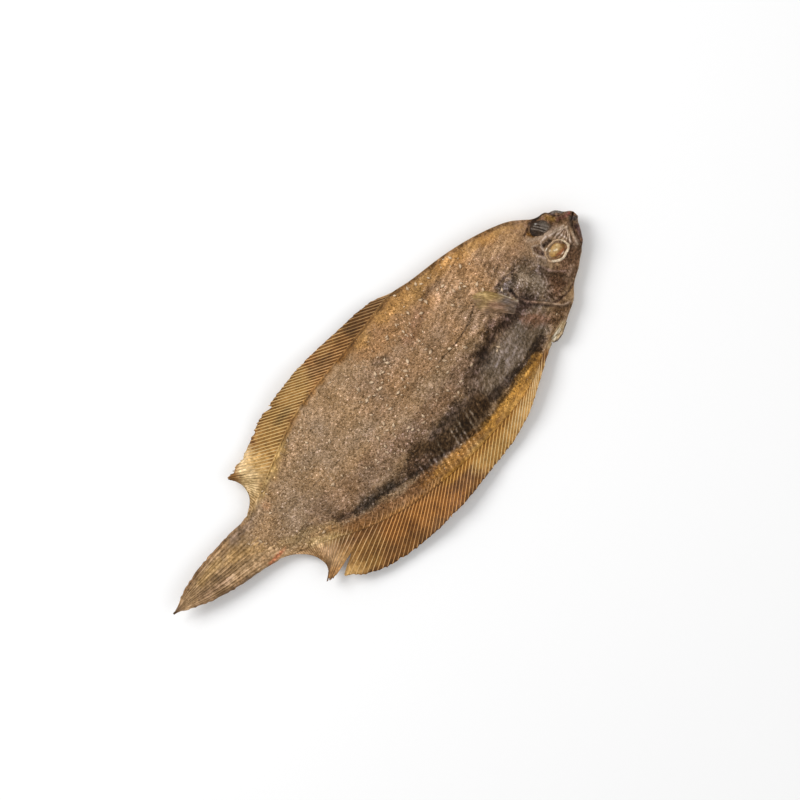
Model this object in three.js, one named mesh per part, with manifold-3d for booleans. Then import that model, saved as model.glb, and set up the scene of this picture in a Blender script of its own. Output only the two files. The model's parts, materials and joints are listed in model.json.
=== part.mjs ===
// A dried dab: a whole small flatfish, dried flat, lying on its blind side with the eyed side up.
// Lengths are in millimetres. In the fish's own measure, s runs from the tail tip to the snout,
// t runs across from the mid line towards the back fin, and z is the height above the table.

import * as THREE from "three";
import { mergeVertices } from "three/addons/utils/BufferGeometryUtils.js";
import Module from "manifold-3d";

const { clamp, degToRad, euclideanModulo, lerp, radToDeg, smoothstep } = THREE.MathUtils;

// Driving dimensions
const LENGTH = 220.4; // tail tip to snout
const MID_LINE_Y = 6.4; // the mid line lies this far off the middle of the width, towards the back fin

// Sections of the body
const BODY_START = 30; // the first section, inside the root of the tail
const HEAD_START = 166; // sections lie closer together from here to the snout
const SNOUT_START = 214; // and closer still from here
const BODY_STEP = 3.6;
const HEAD_STEP = 2;
const SNOUT_STEP = 0.9;
const TOP_POINTS = 19; // points across one section, eyed side
const UNDER_POINTS = 9; // points across one section, blind side

// Where the body ends and the fin rays begin, as [s, t]
const BACK_RIM = [
  [30, 5], [44, 7], [50, 8.2], [58, 11.2], [66, 14.8], [77, 19.5], [86, 22.8], [98, 25.2],
  [114, 26.9], [130, 28.9], [146, 31], [156, 29.3], [172, 27.4], [184, 24.9], [196, 20.9],
  [204, 16], [209, 13.4], [213, 12], [217, 8.6], [219.5, 5.2], [LENGTH, 3.6],
];
const BELLY_RIM = [
  [30, -8.5], [44, -13], [50, -15.6], [58, -19], [66, -22.8], [78, -28.5], [90, -32.3], [105, -35],
  [125, -36.1], [140, -35.4], [157, -33.4], [166, -30.6], [173, -27.2], [179, -25.3], [186, -25.2],
  [192, -22.4], [197, -19.8], [201, -15.8], [206, -12.6], [211, -9.3], [215, -6], [218.5, -1.6],
  [LENGTH, 2.4],
];

// Height of the rim over the table, of the crown over the rim, and depth of the keel below it, as [s, mm]
const RIM_HEIGHT = [
  [0, 7.6], [20, 6.2], [44, 4.9], [80, 4.4], [120, 4.4], [160, 4.8], [190, 5.6], [LENGTH, 6.4],
];
const CROWN = [
  [30, 0.2], [38, 1], [46, 1.9], [60, 2.7], [80, 3.7], [110, 4.9], [140, 5.8], [165, 6.2],
  [185, 6.5], [200, 5.9], [210, 4.4], [217, 2.4], [LENGTH, 0.6],
];
const KEEL = [
  [30, 0.2], [38, 1], [46, 2], [60, 3.2], [80, 4.9], [110, 5.7], [140, 5.7], [165, 5.1],
  [185, 4.1], [200, 3.5], [210, 2.8], [217, 1.7], [LENGTH, 0.5],
];
const RIM_HALF = 0.6; // half of the rim's own thickness
const CROWN_POWER = 1.9; // how long a section stays high before it falls to the rim
const CROWN_ROUND = 0.9; // how round its shoulder is
const RELIEF_FADE = 8; // relief dies out only close to the rim

// Gill cover: a sector of a circle in the cheek, whose rear edge stands free between two angles
const GILL = { s: 200, t: -2, radius: 18.6, inner: 6, from: 166, to: 258, fade: 16 };
const GILL_FLARE = 1.2; // height of the free edge over the skin
const GILL_CURVE = 3; // how late the cover starts to flare
const GILL_SETTLE = 0.35; // its other edges lie this far under the skin
const GILL_SUNK = 1.6; // depth of its hidden side
const GILL_SLIT = { depth: 0.9, width: 2 }; // hollow in the skin behind the free edge
const GILL_RIBS = 16;
const GILL_ROWS = 5;
const BLIND_SHARE = 0.5; // the blind side's gill cover flares less

// Furrows and ridges of the eyed side
const FLANK_FURROW = {
  path: [[181, -7.5], [169, -10.2], [157, -11.6], [147, -14], [136, -18.5], [122, -23]],
  width: 2.4,
  height: -1.5,
};
const BELLY_FURROW = {
  path: [[71, -18.5], [83, -21.5], [105, -26], [128, -30], [136, -31], [154, -28.4], [174, -25.3]],
  width: 1.8,
  height: -0.8,
};
const BROW_RIDGE = { path: [[199, 4.4], [206, 4.2], [213, 3.2], [217.5, 3]], width: 2, height: 0.9 };
const CHEEK_RIDGE = { path: [[196.8, -2.9], [199.5, -7.2], [202.1, -10.3]], width: 1.6, height: 0.5 };
const BELLY_BULGE = { s: 168, t: -19, along: 12, across: 5.5, height: 0.9 };

// Eyes and mouth
const UPPER_EYE = { s: 205.8, t: 8.8, along: 4.2, across: 3.1, rise: 1.1 };
const LOWER_EYE = { s: 205.2, t: -0.9, along: 4, across: 3.7, rise: 0.8 };
const EYE_DEPTH = 2.6; // an eye's half height, most of it sunk in the head
const MOUTH = { s: 216.8, t: 0.2, half: 7.6, gape: 0.55, depth: 2.4, raised: 0.6, turn: 72 };
const BALL_SIDES = 14;
const BALL_RINGS = 9;

// The small fins behind and below the gill: base, ray length, and the two angles of the fan
const CHEST_FIN = { s: 180, t: -6, length: 17, from: 118, to: 142, base: 3, rays: 6, sunk: 1.4 };
const THROAT_FIN = { s: 188.4, t: -22.6, length: 9.4, from: 194, to: 214, base: 2.4, rays: 4, sunk: 1 };
const SMALL_RISE = 0.6; // height of their rays over the skin
const SMALL_WEB = 0.93; // the skin between two rays ends at this share of their length
const SMALL_WEB_RISE = 0.5; // and lies at this share of their height
const SMALL_TAPER = 0.55; // share of its height that a ray loses towards its tip
const SMALL_ROWS = 4;

// Long fins, one row for each station s on the rim: [s, sweep, ray length, fold]. The sweep is the
// angle between a ray and the line to the tail. The fold bends the fin down under the body's edge.
const BACK_FIN = [
  [47, 92, 1, 0], [52, 88, 3.2, 0], [56, 70, 6.6, 0], [60, 51, 11, 0], [64.5, 36, 16.2, 0],
  [70, 30, 16.6, 0], [77, 27, 15.4, 0], [86, 27, 16.4, 0], [97, 26, 18.2, 0], [108, 26, 19, 0],
  [120, 25, 19.8, 0], [130, 25, 16.8, 0], [140, 26, 11.6, 0], [147, 27, 9, 16], [154, 30, 6.8, 66],
  [168, 32, 6.4, 76], [190, 34, 5.6, 78], [204, 40, 2.4, 78],
];
const BELLY_FIN = [
  [47, 92, 0.8, 0], [50, 90, 1.3, 0], [54, 88, 3.8, 0], [58, 74, 7.9, 0], [62, 53, 12, 0],
  [66, 35, 17.8, 0], [70, 26, 19.4, 0], [74, 20, 21.2, 0], [79, 20, 22, 0], [86, 24, 24.2, 0],
  [96, 29, 25.2, 0], [108, 34.5, 22.8, 0], [120, 37, 20.8, 0], [130, 38, 18.8, 0], [140, 38, 16.8, 0],
  [150, 38, 16.2, 0], [160, 38, 15.4, 0], [168, 40, 13.8, 0], [174, 41, 10.8, 0], [178, 43, 6, 0],
  [182, 45, 1.6, 0],
];
const RAY_PITCH = 3; // distance between rays along the rim
const FIN_ROWS = 2; // steps from the rim to the fin's edge
const FIN_ROOT = 2.4; // how far a fin is rooted in the body
const FIN_INSET = 0.6; // a fin leaves the body this far inside the rim line
const RAY_HALF = [0.62, 0.42]; // half thickness on a ray, at the rim and at the edge
const WEB_HALF = [0.46, 0.26]; // half thickness of the skin between two rays
const WEB_SHORT = 0.7; // the skin ends this far inside the ray tips
const RAY_UNEVEN = 0.07; // share by which ray lengths vary
const GOLDEN_TURN = 0.6180339; // spreads uneven lengths without repeating
const FIN_WAVE = { height: 1.1, length: 52, curl: 0.9, full: 10 }; // wave and lift of a fin's edge
const TORN_RAYS = { from: 75.2, to: 77.6, left: 0.48 }; // a split in the belly fin
const WORN_RAYS = [{ s: 80.5, left: 0.94 }, { s: 85.5, left: 0.92 }, { s: 95.5, left: 0.93 }];

// Tail fin, closed like a brush: its edges on the back and the belly side, and its half thickness
const TAIL_BACK = [[0, 0.5], [4, 1.6], [8, 3.3], [12, 4.5], [20, 6], [28, 6.9], [38, 7.3], [47, 7.4]];
const TAIL_BELLY = [
  [0, -0.6], [4, -2.1], [8, -3.7], [16, -7], [24, -9.4], [32, -10.9], [40, -12.5], [47, -14],
];
const TAIL_HALF = [[0, 0.35], [14, 0.7], [30, 1.2], [47, 1.9]];
const TAIL_ROUND = 4; // how square its edges are
const TAIL_EDGE = 0.18; // half thickness along its edges
const TAIL_GROOVE = 0.34; // depth of the grooves between its rays
const TAIL_STEP = 4;
const TAIL_RAYS = 7;

const SKIN = { color: 0x97795b, roughness: 0.62, metalness: 0 };

const wasm = await Module();
wasm.setup();

// A smooth curve through hand-chosen rows of [place, value, ...].
function curveThrough(rows, column = 1) {
  const places = rows.map((row) => row[0]);
  const values = rows.map((row) => row[column]);
  const spline = new THREE.CubicInterpolant(places, values, 1, new Float64Array(1));
  return (place) => spline.evaluate(clamp(place, places[0], places.at(-1)))[0];
}

const backRim = curveThrough(BACK_RIM);
const bellyRim = curveThrough(BELLY_RIM);
const rimHeight = curveThrough(RIM_HEIGHT);
const crown = curveThrough(CROWN);
const keel = curveThrough(KEEL);

// Even steps from one value to another, both ends included.
function steps(from, to, count) {
  return Array.from({ length: count }, (_, i) => from + ((to - from) * i) / (count - 1));
}

// A fixed uneven value between -0.5 and 0.5 for each whole number.
function uneven(number) {
  const turns = number * GOLDEN_TURN + number ** 2 * (1 - GOLDEN_TURN);
  return turns - Math.floor(turns) - 0.5;
}

// Distance from a point to a line of straight stretches.
function distanceToPath(s, t, path) {
  let nearest = Infinity;
  for (let i = 0; i + 1 < path.length; i++) {
    const [s0, t0] = path[i];
    const ds = path[i + 1][0] - s0;
    const dt = path[i + 1][1] - t0;
    const along = clamp(((s - s0) * ds + (t - t0) * dt) / (ds * ds + dt * dt), 0, 1);
    nearest = Math.min(nearest, Math.hypot(s - s0 - along * ds, t - t0 - along * dt));
  }
  return nearest;
}

// A rounded ridge along a path, or a furrow where its height is negative.
function ridge(s, t, { path, width, height }) {
  return height * Math.exp(-((distanceToPath(s, t, path) / width) ** 2));
}

// How far the gill cover's edge stands free at an angle round its middle: 0 at both ends, 1 between.
function gillFree(degrees) {
  const opens = smoothstep(degrees, GILL.from, GILL.from + GILL.fade);
  return opens * (1 - smoothstep(degrees, GILL.to - GILL.fade, GILL.to));
}

// The skin sinks just behind the gill cover's free edge.
function gillSlit(s, t) {
  const radius = Math.hypot(s - GILL.s, t - GILL.t);
  const degrees = radToDeg(Math.atan2(t - GILL.t, s - GILL.s));
  const behind = (radius - GILL.radius) / GILL_SLIT.width - 0.5;
  return -GILL_SLIT.depth * Math.exp(-(behind ** 2)) * gillFree(euclideanModulo(degrees, 360));
}

// The swollen belly behind the gill.
function bellyBulge(s, t) {
  const along = (s - BELLY_BULGE.s) / BELLY_BULGE.along;
  const aside = (t - BELLY_BULGE.t) / BELLY_BULGE.across;
  return BELLY_BULGE.height * Math.exp(-(along ** 2) - aside ** 2);
}

// All relief of the eyed side, over the plain crown.
function relief(s, t) {
  const lines = [FLANK_FURROW, BELLY_FURROW, BROW_RIDGE, CHEEK_RIDGE];
  return lines.reduce((height, line) => height + ridge(s, t, line), gillSlit(s, t) + bellyBulge(s, t));
}

// Place across the body: 0 on its mid line, 1 on either rim.
function across(s, t) {
  const back = backRim(s);
  const belly = bellyRim(s);
  return Math.min(1, Math.abs((2 * t - back - belly) / (back - belly)));
}

// Height of the eyed side.
function topHeight(s, t) {
  const place = across(s, t);
  const bow = (1 - place ** CROWN_POWER) ** CROWN_ROUND;
  return rimHeight(s) + RIM_HALF + crown(s) * bow + relief(s, t) * (1 - place ** RELIEF_FADE);
}

// Height of the blind side: a plain shallow keel, pressed flat where it lies on the table.
function underHeight(s, t) {
  const bow = (1 - across(s, t) ** CROWN_POWER) ** CROWN_ROUND;
  return Math.max(0, rimHeight(s) - RIM_HALF - keel(s) * bow);
}

// A closed solid from flat lists of corner coordinates and triangle corners.
function solidOf(vertProperties, triVerts) {
  return new wasm.Manifold(new wasm.Mesh({ numProp: 3, vertProperties, triVerts }));
}

// A solid skinned over a row of closed rings with equal numbers of points.
function loft(rings) {
  const count = rings[0].length;
  const last = (rings.length - 1) * count;
  const triangles = [];
  for (let i = 0; i + 1 < rings.length; i++) {
    for (let j = 0; j < count; j++) {
      const here = i * count + j;
      const next = i * count + ((j + 1) % count);
      triangles.push([here, next, next + count], [here, next + count, here + count]);
    }
  }
  for (let j = 1; j + 1 < count; j++) {
    triangles.push([0, j + 1, j], [last, last + j, last + j + 1]);
  }
  const corners = new Float32Array(rings.flat(2));
  const made = solidOf(corners, new Uint32Array(triangles.flat()));
  if (made.volume() > 0) return made;
  return solidOf(corners, new Uint32Array(triangles.map((corner) => corner.reverse()).flat()));
}

// Sections of the body: across the eyed side from belly to back, and home along the blind side.
function body() {
  const stations = [];
  const stepAt = (s) => (s < HEAD_START ? BODY_STEP : s < SNOUT_START ? HEAD_STEP : SNOUT_STEP);
  for (let s = BODY_START; s < LENGTH - SNOUT_STEP / 2; s += stepAt(s)) {
    stations.push(s);
  }
  stations.push(LENGTH);
  const section = (s) => {
    const place = (angle) => lerp(bellyRim(s), backRim(s), (1 - Math.cos(angle)) / 2);
    const top = steps(0, Math.PI, TOP_POINTS).map(place);
    const under = steps(Math.PI, 0, UNDER_POINTS).map(place);
    return [...top.map((t) => [s, t, topHeight(s, t)]), ...under.map((t) => [s, t, underHeight(s, t)])];
  };
  return loft(stations.map(section));
}

// One long fin: a thin sheet, thick on every ray and thin between, swept back towards the tail.
function longFin(rows, rim, side, lengthShare) {
  const sweepAt = curveThrough(rows, 1);
  const lengthAt = curveThrough(rows, 2);
  const foldAt = curveThrough(rows, 3);
  const from = rows[0][0];
  const to = rows.at(-1)[0];
  const shares = [-1, ...steps(0, 1, FIN_ROWS + 1)]; // -1 is the root inside the body
  const column = (s, index) => {
    const onRay = index % 2 === 1;
    const half = onRay ? RAY_HALF : WEB_HALF;
    const sweep = degToRad(sweepAt(s));
    const fold = degToRad(foldAt(s));
    const ray = lengthAt(s) * (1 + RAY_UNEVEN * uneven(Math.ceil(index / 2))) * lengthShare(s);
    const length = onRay ? ray : Math.max(ray - WEB_SHORT, ray / 2);
    const wave = FIN_WAVE.height * Math.sin((2 * Math.PI * s) / FIN_WAVE.length + side) + FIN_WAVE.curl;
    const lift = wave * Math.min(1, length / FIN_WAVE.full);
    const point = (share, face) => {
      const free = Math.max(0, share);
      const bend = share < 0 ? 0 : fold;
      const out = share < 0 ? -FIN_ROOT : share * length;
      const reach = out * Math.sin(sweep);
      const thick = face * lerp(half[0], half[1], free);
      return [
        s - out * Math.cos(sweep),
        rim(s) + side * (reach * Math.cos(bend) + thick * Math.sin(bend) - FIN_INSET),
        rimHeight(s) - reach * Math.sin(bend) + (thick + lift * free ** 2) * Math.cos(bend),
      ];
    };
    const top = shares.map((share) => point(share, 1));
    const under = shares.map((share) => point(share, -1)).reverse();
    return [...top, ...under];
  };
  const columns = 2 * Math.round((to - from) / RAY_PITCH) + 1;
  return loft(steps(from, to, columns).map(column));
}

// The back fin has a few rays worn short.
function backFin() {
  const wornAt = (s) => WORN_RAYS.find((ray) => Math.abs(s - ray.s) < RAY_PITCH / 2);
  return longFin(BACK_FIN, backRim, 1, (s) => wornAt(s)?.left ?? 1);
}

// The belly fin has one split near its rear corner.
function bellyFin() {
  const torn = (s) => s > TORN_RAYS.from && s < TORN_RAYS.to;
  return longFin(BELLY_FIN, bellyRim, -1, (s) => (torn(s) ? TORN_RAYS.left : 1));
}

// The tail fin: sections along the tail whose grooves run together at the tip.
function tailFin() {
  const back = curveThrough(TAIL_BACK);
  const belly = curveThrough(TAIL_BELLY);
  const half = curveThrough(TAIL_HALF);
  const root = TAIL_BACK.at(-1)[0];
  const shares = steps(0, 1, 2 * TAIL_RAYS + 1);
  const section = (s) => {
    const point = (share, index, face) => {
      const bow = Math.sqrt(1 - (2 * share - 1) ** TAIL_ROUND) * half(s);
      const groove = index % 2 === 0 ? TAIL_GROOVE * Math.min(1, half(s)) : 0;
      return [s, lerp(belly(s), back(s), share), rimHeight(s) + face * Math.max(bow - groove, TAIL_EDGE)];
    };
    const top = shares.map((share, index) => point(share, index, 1));
    const under = shares.map((share, index) => point(share, index, -1)).reverse();
    return [...top, ...under];
  };
  return loft(steps(0, root, Math.round(root / TAIL_STEP) + 1).map(section));
}

// A gill cover on the eyed side (face 1) or the blind side (face -1).
function gillCover(face) {
  const skin = face > 0 ? topHeight : underHeight;
  const flare = face > 0 ? GILL_FLARE : GILL_FLARE * BLIND_SHARE;
  const radii = steps(GILL.inner, GILL.radius, GILL_ROWS);
  const rib = (degrees) => {
    const angle = degToRad(degrees);
    const point = (radius, height) => {
      const s = GILL.s + radius * Math.cos(angle);
      const t = GILL.t + radius * Math.sin(angle);
      return [s, t, Math.max(0, skin(s, t) + face * height)];
    };
    const opening = (radius) => (radius / GILL.radius) ** GILL_CURVE * gillFree(degrees);
    const shown = radii.map((radius) => point(radius, lerp(-GILL_SETTLE, flare, opening(radius))));
    const hidden = radii.map((radius) => point(radius, -GILL_SUNK)).reverse();
    return [...shown, ...hidden];
  };
  return loft(steps(GILL.from, GILL.to, GILL_RIBS).map(rib));
}

// A small fan of rays lying on the skin, its rays spread between two angles from a short base.
function smallFin(fin) {
  const middle = degToRad((fin.from + fin.to) / 2);
  const shares = steps(0, 1, SMALL_ROWS);
  const rib = (place, index) => {
    const onRay = index % 2 === 0;
    const angle = degToRad(lerp(fin.from, fin.to, place));
    const aside = (place - 0.5) * fin.base;
    const rise = onRay ? SMALL_RISE : SMALL_RISE * SMALL_WEB_RISE;
    const length = onRay ? fin.length : fin.length * SMALL_WEB;
    const point = (share, height) => {
      const s = fin.s + share * length * Math.cos(angle) - aside * Math.sin(middle);
      const t = fin.t + share * length * Math.sin(angle) + aside * Math.cos(middle);
      const skin = t < bellyRim(s) ? rimHeight(s) : topHeight(s, t);
      return [s, t, skin + height];
    };
    const top = shares.map((share) => point(share, rise * (1 - SMALL_TAPER * share)));
    const under = shares.map((share) => point(share, -fin.sunk)).reverse();
    return [...top, ...under];
  };
  return loft(steps(0, 1, 2 * fin.rays - 1).map(rib));
}

// A ball stretched to three half sizes, turned about z and moved to its place.
function ball(halves, turn, place) {
  const shape = new THREE.SphereGeometry(1, BALL_SIDES, BALL_RINGS);
  shape.rotateX(Math.PI / 2);
  shape.scale(...halves);
  shape.rotateZ(degToRad(turn));
  shape.translate(...place);
  shape.deleteAttribute("normal");
  shape.deleteAttribute("uv");
  const merged = mergeVertices(shape);
  return solidOf(merged.attributes.position.array, new Uint32Array(merged.index.array));
}

// An eye: a squashed ball that stands a little out of the head.
function eye({ s, t, along, across: aside, rise }) {
  return ball([along, aside, EYE_DEPTH], 0, [s, t, topHeight(s, t) + rise - EYE_DEPTH]);
}

// The shut mouth: a thin slot across the snout.
function mouthSlot() {
  const { s, t, half, gape, depth, raised, turn } = MOUTH;
  return ball([half, gape, depth], turn, [s, t, topHeight(s, t) + raised]);
}

// The whole fish, fused into one piece.
function driedDab() {
  const fins = [backFin(), bellyFin(), tailFin(), smallFin(CHEST_FIN), smallFin(THROAT_FIN)];
  const head = [gillCover(1), gillCover(-1), eye(UPPER_EYE), eye(LOWER_EYE)];
  const whole = [...fins, ...head].reduce((fish, piece) => fish.add(piece), body());
  const { vertProperties, triVerts } = whole.subtract(mouthSlot()).getMesh();
  const geometry = new THREE.BufferGeometry();
  geometry.setAttribute("position", new THREE.BufferAttribute(vertProperties, 3));
  geometry.setIndex(new THREE.BufferAttribute(triVerts, 1));
  geometry.computeVertexNormals();
  const mesh = new THREE.Mesh(geometry, new THREE.MeshStandardMaterial(SKIN));
  mesh.name = "dried_dab";
  mesh.position.set(-LENGTH / 2, MID_LINE_Y, 0);
  return mesh;
}

const dab = new THREE.Group();
dab.add(driedDab());

export default dab;
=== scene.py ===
# %% [markdown]
# # A dried dab, lying with its eyed side up
# A dab is a small flatfish. Dried whole as a chew it keeps its rough scales, its fins stiffen into amber
# fans and its eyes shrink in their sockets. The cells below run from top to bottom. Each makes one thing
# and prints what it made.

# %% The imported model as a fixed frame
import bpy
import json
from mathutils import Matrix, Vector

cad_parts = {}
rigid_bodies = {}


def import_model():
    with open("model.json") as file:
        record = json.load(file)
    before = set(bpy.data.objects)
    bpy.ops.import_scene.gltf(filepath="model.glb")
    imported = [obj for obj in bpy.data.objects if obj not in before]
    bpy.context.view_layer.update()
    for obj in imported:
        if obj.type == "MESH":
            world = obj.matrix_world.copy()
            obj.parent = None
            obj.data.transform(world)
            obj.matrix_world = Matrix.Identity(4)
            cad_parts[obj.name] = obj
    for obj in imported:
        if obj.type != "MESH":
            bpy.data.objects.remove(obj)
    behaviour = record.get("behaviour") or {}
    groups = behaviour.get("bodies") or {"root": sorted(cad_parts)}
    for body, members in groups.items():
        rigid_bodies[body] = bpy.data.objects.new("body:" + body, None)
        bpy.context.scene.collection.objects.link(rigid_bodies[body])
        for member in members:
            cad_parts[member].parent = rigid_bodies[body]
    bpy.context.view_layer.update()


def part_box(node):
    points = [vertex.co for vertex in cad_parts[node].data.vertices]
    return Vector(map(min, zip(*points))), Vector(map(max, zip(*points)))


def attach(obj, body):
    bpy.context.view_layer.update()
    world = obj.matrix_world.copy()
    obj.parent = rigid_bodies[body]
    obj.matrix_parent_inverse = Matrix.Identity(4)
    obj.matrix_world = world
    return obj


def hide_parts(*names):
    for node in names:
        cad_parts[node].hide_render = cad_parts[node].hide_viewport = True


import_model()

import json

import bmesh
import bpy
import numpy as np

# %% [markdown]
# ## The fish's own measure
# It is easier to think along the fish than in the frame. Here s runs in millimetres from the tail tip to
# the snout, t runs across from the mid line towards the back fin, and z is the height over the table. One
# function turns these into metres in the shared frame, so every object can stay at the origin.

# %% From fish millimetres to the frame
MM = 0.001
LENGTH = 220.4  # tail tip to snout
MID_LINE_Y = 6.4  # the mid line lies this far off the middle of the width
TAIL_TIP = np.array([-LENGTH / 2, MID_LINE_Y, 0])  # where s, t and z are 0, in millimetres of the frame


def in_frame(points):
    """Fish millimetres (s, t, z) as metres in the shared frame."""
    return (np.asarray(points, float) + TAIL_TIP) * MM


low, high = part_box("dried_dab")
print("length of the solid in mm:", round((high.x - low.x) / MM, 1), "and of the drawing:", LENGTH)

# %% [markdown]
# ## Smooth curves and uneven values
# A grown thing has no straight lines, so each measure is a smooth curve through a few given rows.
# Each stretch is a cubic whose slope at a row is the mean of the slopes on both sides. Nothing grown is
# even either, so a fixed table of values, blended between its points, gives soft lumps of any size.

# %% Curves and steps
def curve_through(rows, column=1):
    """A smooth curve through rows of [place, value, ...]."""
    table = np.array(rows, float)
    place, value = table[:, 0], table[:, column]
    slope = np.diff(value) / np.diff(place)
    tangent = np.concatenate([slope[:1], (slope[1:] + slope[:-1]) / 2, slope[-1:]])

    def at(wanted):
        spot = np.clip(wanted, place[0], place[-1])
        i = np.clip(np.searchsorted(place, spot, side="right") - 1, 0, len(place) - 2)
        step = place[i + 1] - place[i]
        u = (spot - place[i]) / step
        ends = value[i] * (1 + 2 * u) * (1 - u) ** 2 + value[i + 1] * u**2 * (3 - 2 * u)
        return ends + step * (tangent[i] * u * (1 - u) ** 2 - tangent[i + 1] * u**2 * (1 - u))

    return at


def ease(value, low, high):
    """0 below low, 1 above high, and a soft step between."""
    u = np.clip((value - low) / (high - low), 0, 1)
    return u * u * (3 - 2 * u)


def blend(first, second, share):
    return first + (second - first) * share


print("a soft step from 0 to 1, halfway:", ease(0.5, 0, 1))

# %% Uneven values and lumps
GOLDEN_TURN = 0.6180339  # spreads uneven values without repeating
LUMP_TABLE = 128


def uneven(number):
    """A fixed uneven value between -0.5 and 0.5 for each whole number."""
    turns = number * GOLDEN_TURN + number**2 * (1 - GOLDEN_TURN)
    return turns - np.floor(turns) - 0.5


def lumps(s, t, size, seed):
    """Soft lumps between -1 and 1, about size mm across."""
    table = np.random.default_rng(seed).uniform(-1, 1, (LUMP_TABLE, LUMP_TABLE))
    u, v = np.asarray(s) / size, np.asarray(t) / size
    i, j = np.floor(u).astype(int), np.floor(v).astype(int)
    a, b = ease(u - i, 0, 1), ease(v - j, 0, 1)
    i, j = i % LUMP_TABLE, j % LUMP_TABLE
    k, m = (i + 1) % LUMP_TABLE, (j + 1) % LUMP_TABLE
    return blend(blend(table[i, j], table[k, j], a), blend(table[i, m], table[k, m], a), b)


def layered(s, t, layers):
    """Lumps of several sizes together, from rows of (height, size, seed)."""
    return sum(height * lumps(s, t, size, seed) for height, size, seed in layers)


print("lumps of 5 mm at three places:", lumps(np.array([10, 20, 30]), np.zeros(3), 5, 1).round(2))

# %% [markdown]
# ## The body's outline and heights
# Two curves give where the body ends and the fin rays begin. Three more give the height of that rim over
# the table, how far the eyed side rises above it, and how far the blind side hangs below it. These are
# the same rows that shape the solid, so the skin falls on it with no fitting.

# %% Rows of the body
BACK_RIM = [
    [30, 5], [44, 7], [50, 8.2], [58, 11.2], [66, 14.8], [77, 19.5], [86, 22.8], [98, 25.2],
    [114, 26.9], [130, 28.9], [146, 31], [156, 29.3], [172, 27.4], [184, 24.9], [196, 20.9],
    [200, 18.9], [204, 15.9], [207, 13.4], [209, 12.7], [211, 12.4], [212.2, 11.9], [213, 11],
    [214.2, 10.6], [215.4, 10], [216.4, 9], [217.4, 7.5], [218.4, 6.6], [219.6, 5.8], [LENGTH, 4.6],
]
BELLY_RIM = [
    [30, -8.5], [44, -13], [50, -15.6], [58, -19], [66, -22.8], [78, -28.5], [90, -32.3], [105, -35],
    [125, -36.1], [140, -35.4], [157, -33.4], [166, -30.6], [173, -27.2], [179, -25.3], [186, -25.2],
    [192, -22.4], [197, -19.8], [201, -15.8], [206, -12.6], [211, -9], [213.4, -7.4], [215, -6.2],
    [216.6, -3.8], [218.2, -0.9], [219.2, 1], [LENGTH, 2],
]
RIM_HEIGHT = [
    [0, 7.6], [20, 6.2], [44, 4.9], [80, 4.4], [120, 4.4], [160, 4.8], [190, 5.6], [LENGTH, 6.4],
]
CROWN = [
    [30, 0.2], [38, 1], [46, 1.9], [60, 2.7], [80, 3.7], [110, 4.9], [140, 5.8], [165, 6.2],
    [185, 6.5], [200, 5.9], [210, 4.4], [217, 2.4], [LENGTH, 0.6],
]
KEEL = [
    [30, 0.2], [38, 1], [46, 2], [60, 3.2], [80, 4.9], [110, 5.7], [140, 5.7], [165, 5.1],
    [185, 4.1], [200, 3.5], [210, 2.8], [217, 1.7], [LENGTH, 0.5],
]
RIM_HALF = 0.6  # half of the rim's own thickness
CROWN_POWER, CROWN_ROUND = 1.9, 0.9  # how long a section stays high, and how round its shoulder is
RELIEF_FADE = 8  # relief dies out only close to the rim

back_rim, belly_rim = curve_through(BACK_RIM), curve_through(BELLY_RIM)
rim_height, crown, keel = curve_through(RIM_HEIGHT), curve_through(CROWN), curve_through(KEEL)


def across(s, t):
    """0 on the middle of the body, 1 on either rim."""
    back, belly = back_rim(s), belly_rim(s)
    return np.minimum(1, np.abs((2 * t - back - belly) / (back - belly)))


def inside_rim(s, t):
    """Distance in mm from the nearer rim, measured across the fish."""
    return (1 - across(s, t)) * (back_rim(s) - belly_rim(s)) / 2


print("width of the body at mid length in mm:", round(float(back_rim(120) - belly_rim(120)), 1))

# %% [markdown]
# ## Furrows, ridges and pockets
# Drying pulls the skin down between the muscles and over the bones. Each such line is a path with a
# width and a height: a ridge where the height is positive, a furrow where it is negative. Sculpting would
# give the same, but a list of paths can be read, moved and run again. The profile is a bell curve, which
# has no hard edge on either side.

# %% Paths of the eyed side
FLANK_FURROW = [[183, -8.8], [176, -8.1], [170, -8.4], [163, -9.2], [156, -11], [150, -13.4], [146, -15.2]]
FLANK_END = [[146, -15.2], [136, -18.6], [122, -22]]
BELLY_FURROW = [[71, -18.5], [83, -21.5], [105, -26], [128, -30], [136, -31], [154, -28.4], [174, -25.3]]
SIDE_LINE = [[171, 7], [168.7, 5.8], [160, 1.3], [151.4, -0.7], [142, -1.1], [110, -1.6], [50, -2.4]]
GILL_SEAM = [[188.4, -15.2], [191.5, -16], [194.5, -16.5], [198, -16.3], [201.5, -15.2]]
CHEEK_BONE = [[196.4, -2.6], [197.1, -5.1], [199.2, -7.6], [201.9, -9.7]]
CHEEK_GROOVE = [[195.4, -2.8], [196, -5.7], [198.2, -8.8], [201, -11.2]]
MOUTH_SLIT = [[219.8, 4.2], [217.6, 2.9], [215.8, 0.8], [214.9, -1.6], [214, -5.4]]
UPPER_LIP = [[218.6, 5.6], [216.6, 4.2], [214.6, 1.6], [213.7, -1.4], [212.7, -5.2]]
LOWER_LIP = [[219.4, 2.2], [217.8, 0.2], [216.4, -2], [215.2, -5.2]]
BROW_GROOVE = [[209.8, 6.2], [212.6, 5.6], [216, 5.4]]
EYE_BAG = [[203.6, -6.6], [207.5, -6.4], [211, -5.2]]
BROW_RIDGE = [[199, 4.4], [206, 4.2], [213, 3.2], [217.5, 3]]  # between the two eyes
SNOUT_DENTS = [[[213.4, 8.4]], [[215.5, 7.4]], [[213.4, 5]], [[219, 4]], [[217.4, 2.4]], [[210.8, 6.8]]]
UPPER_POCKET = [[202.1, 3.1], [205, 2.7]]
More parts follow.
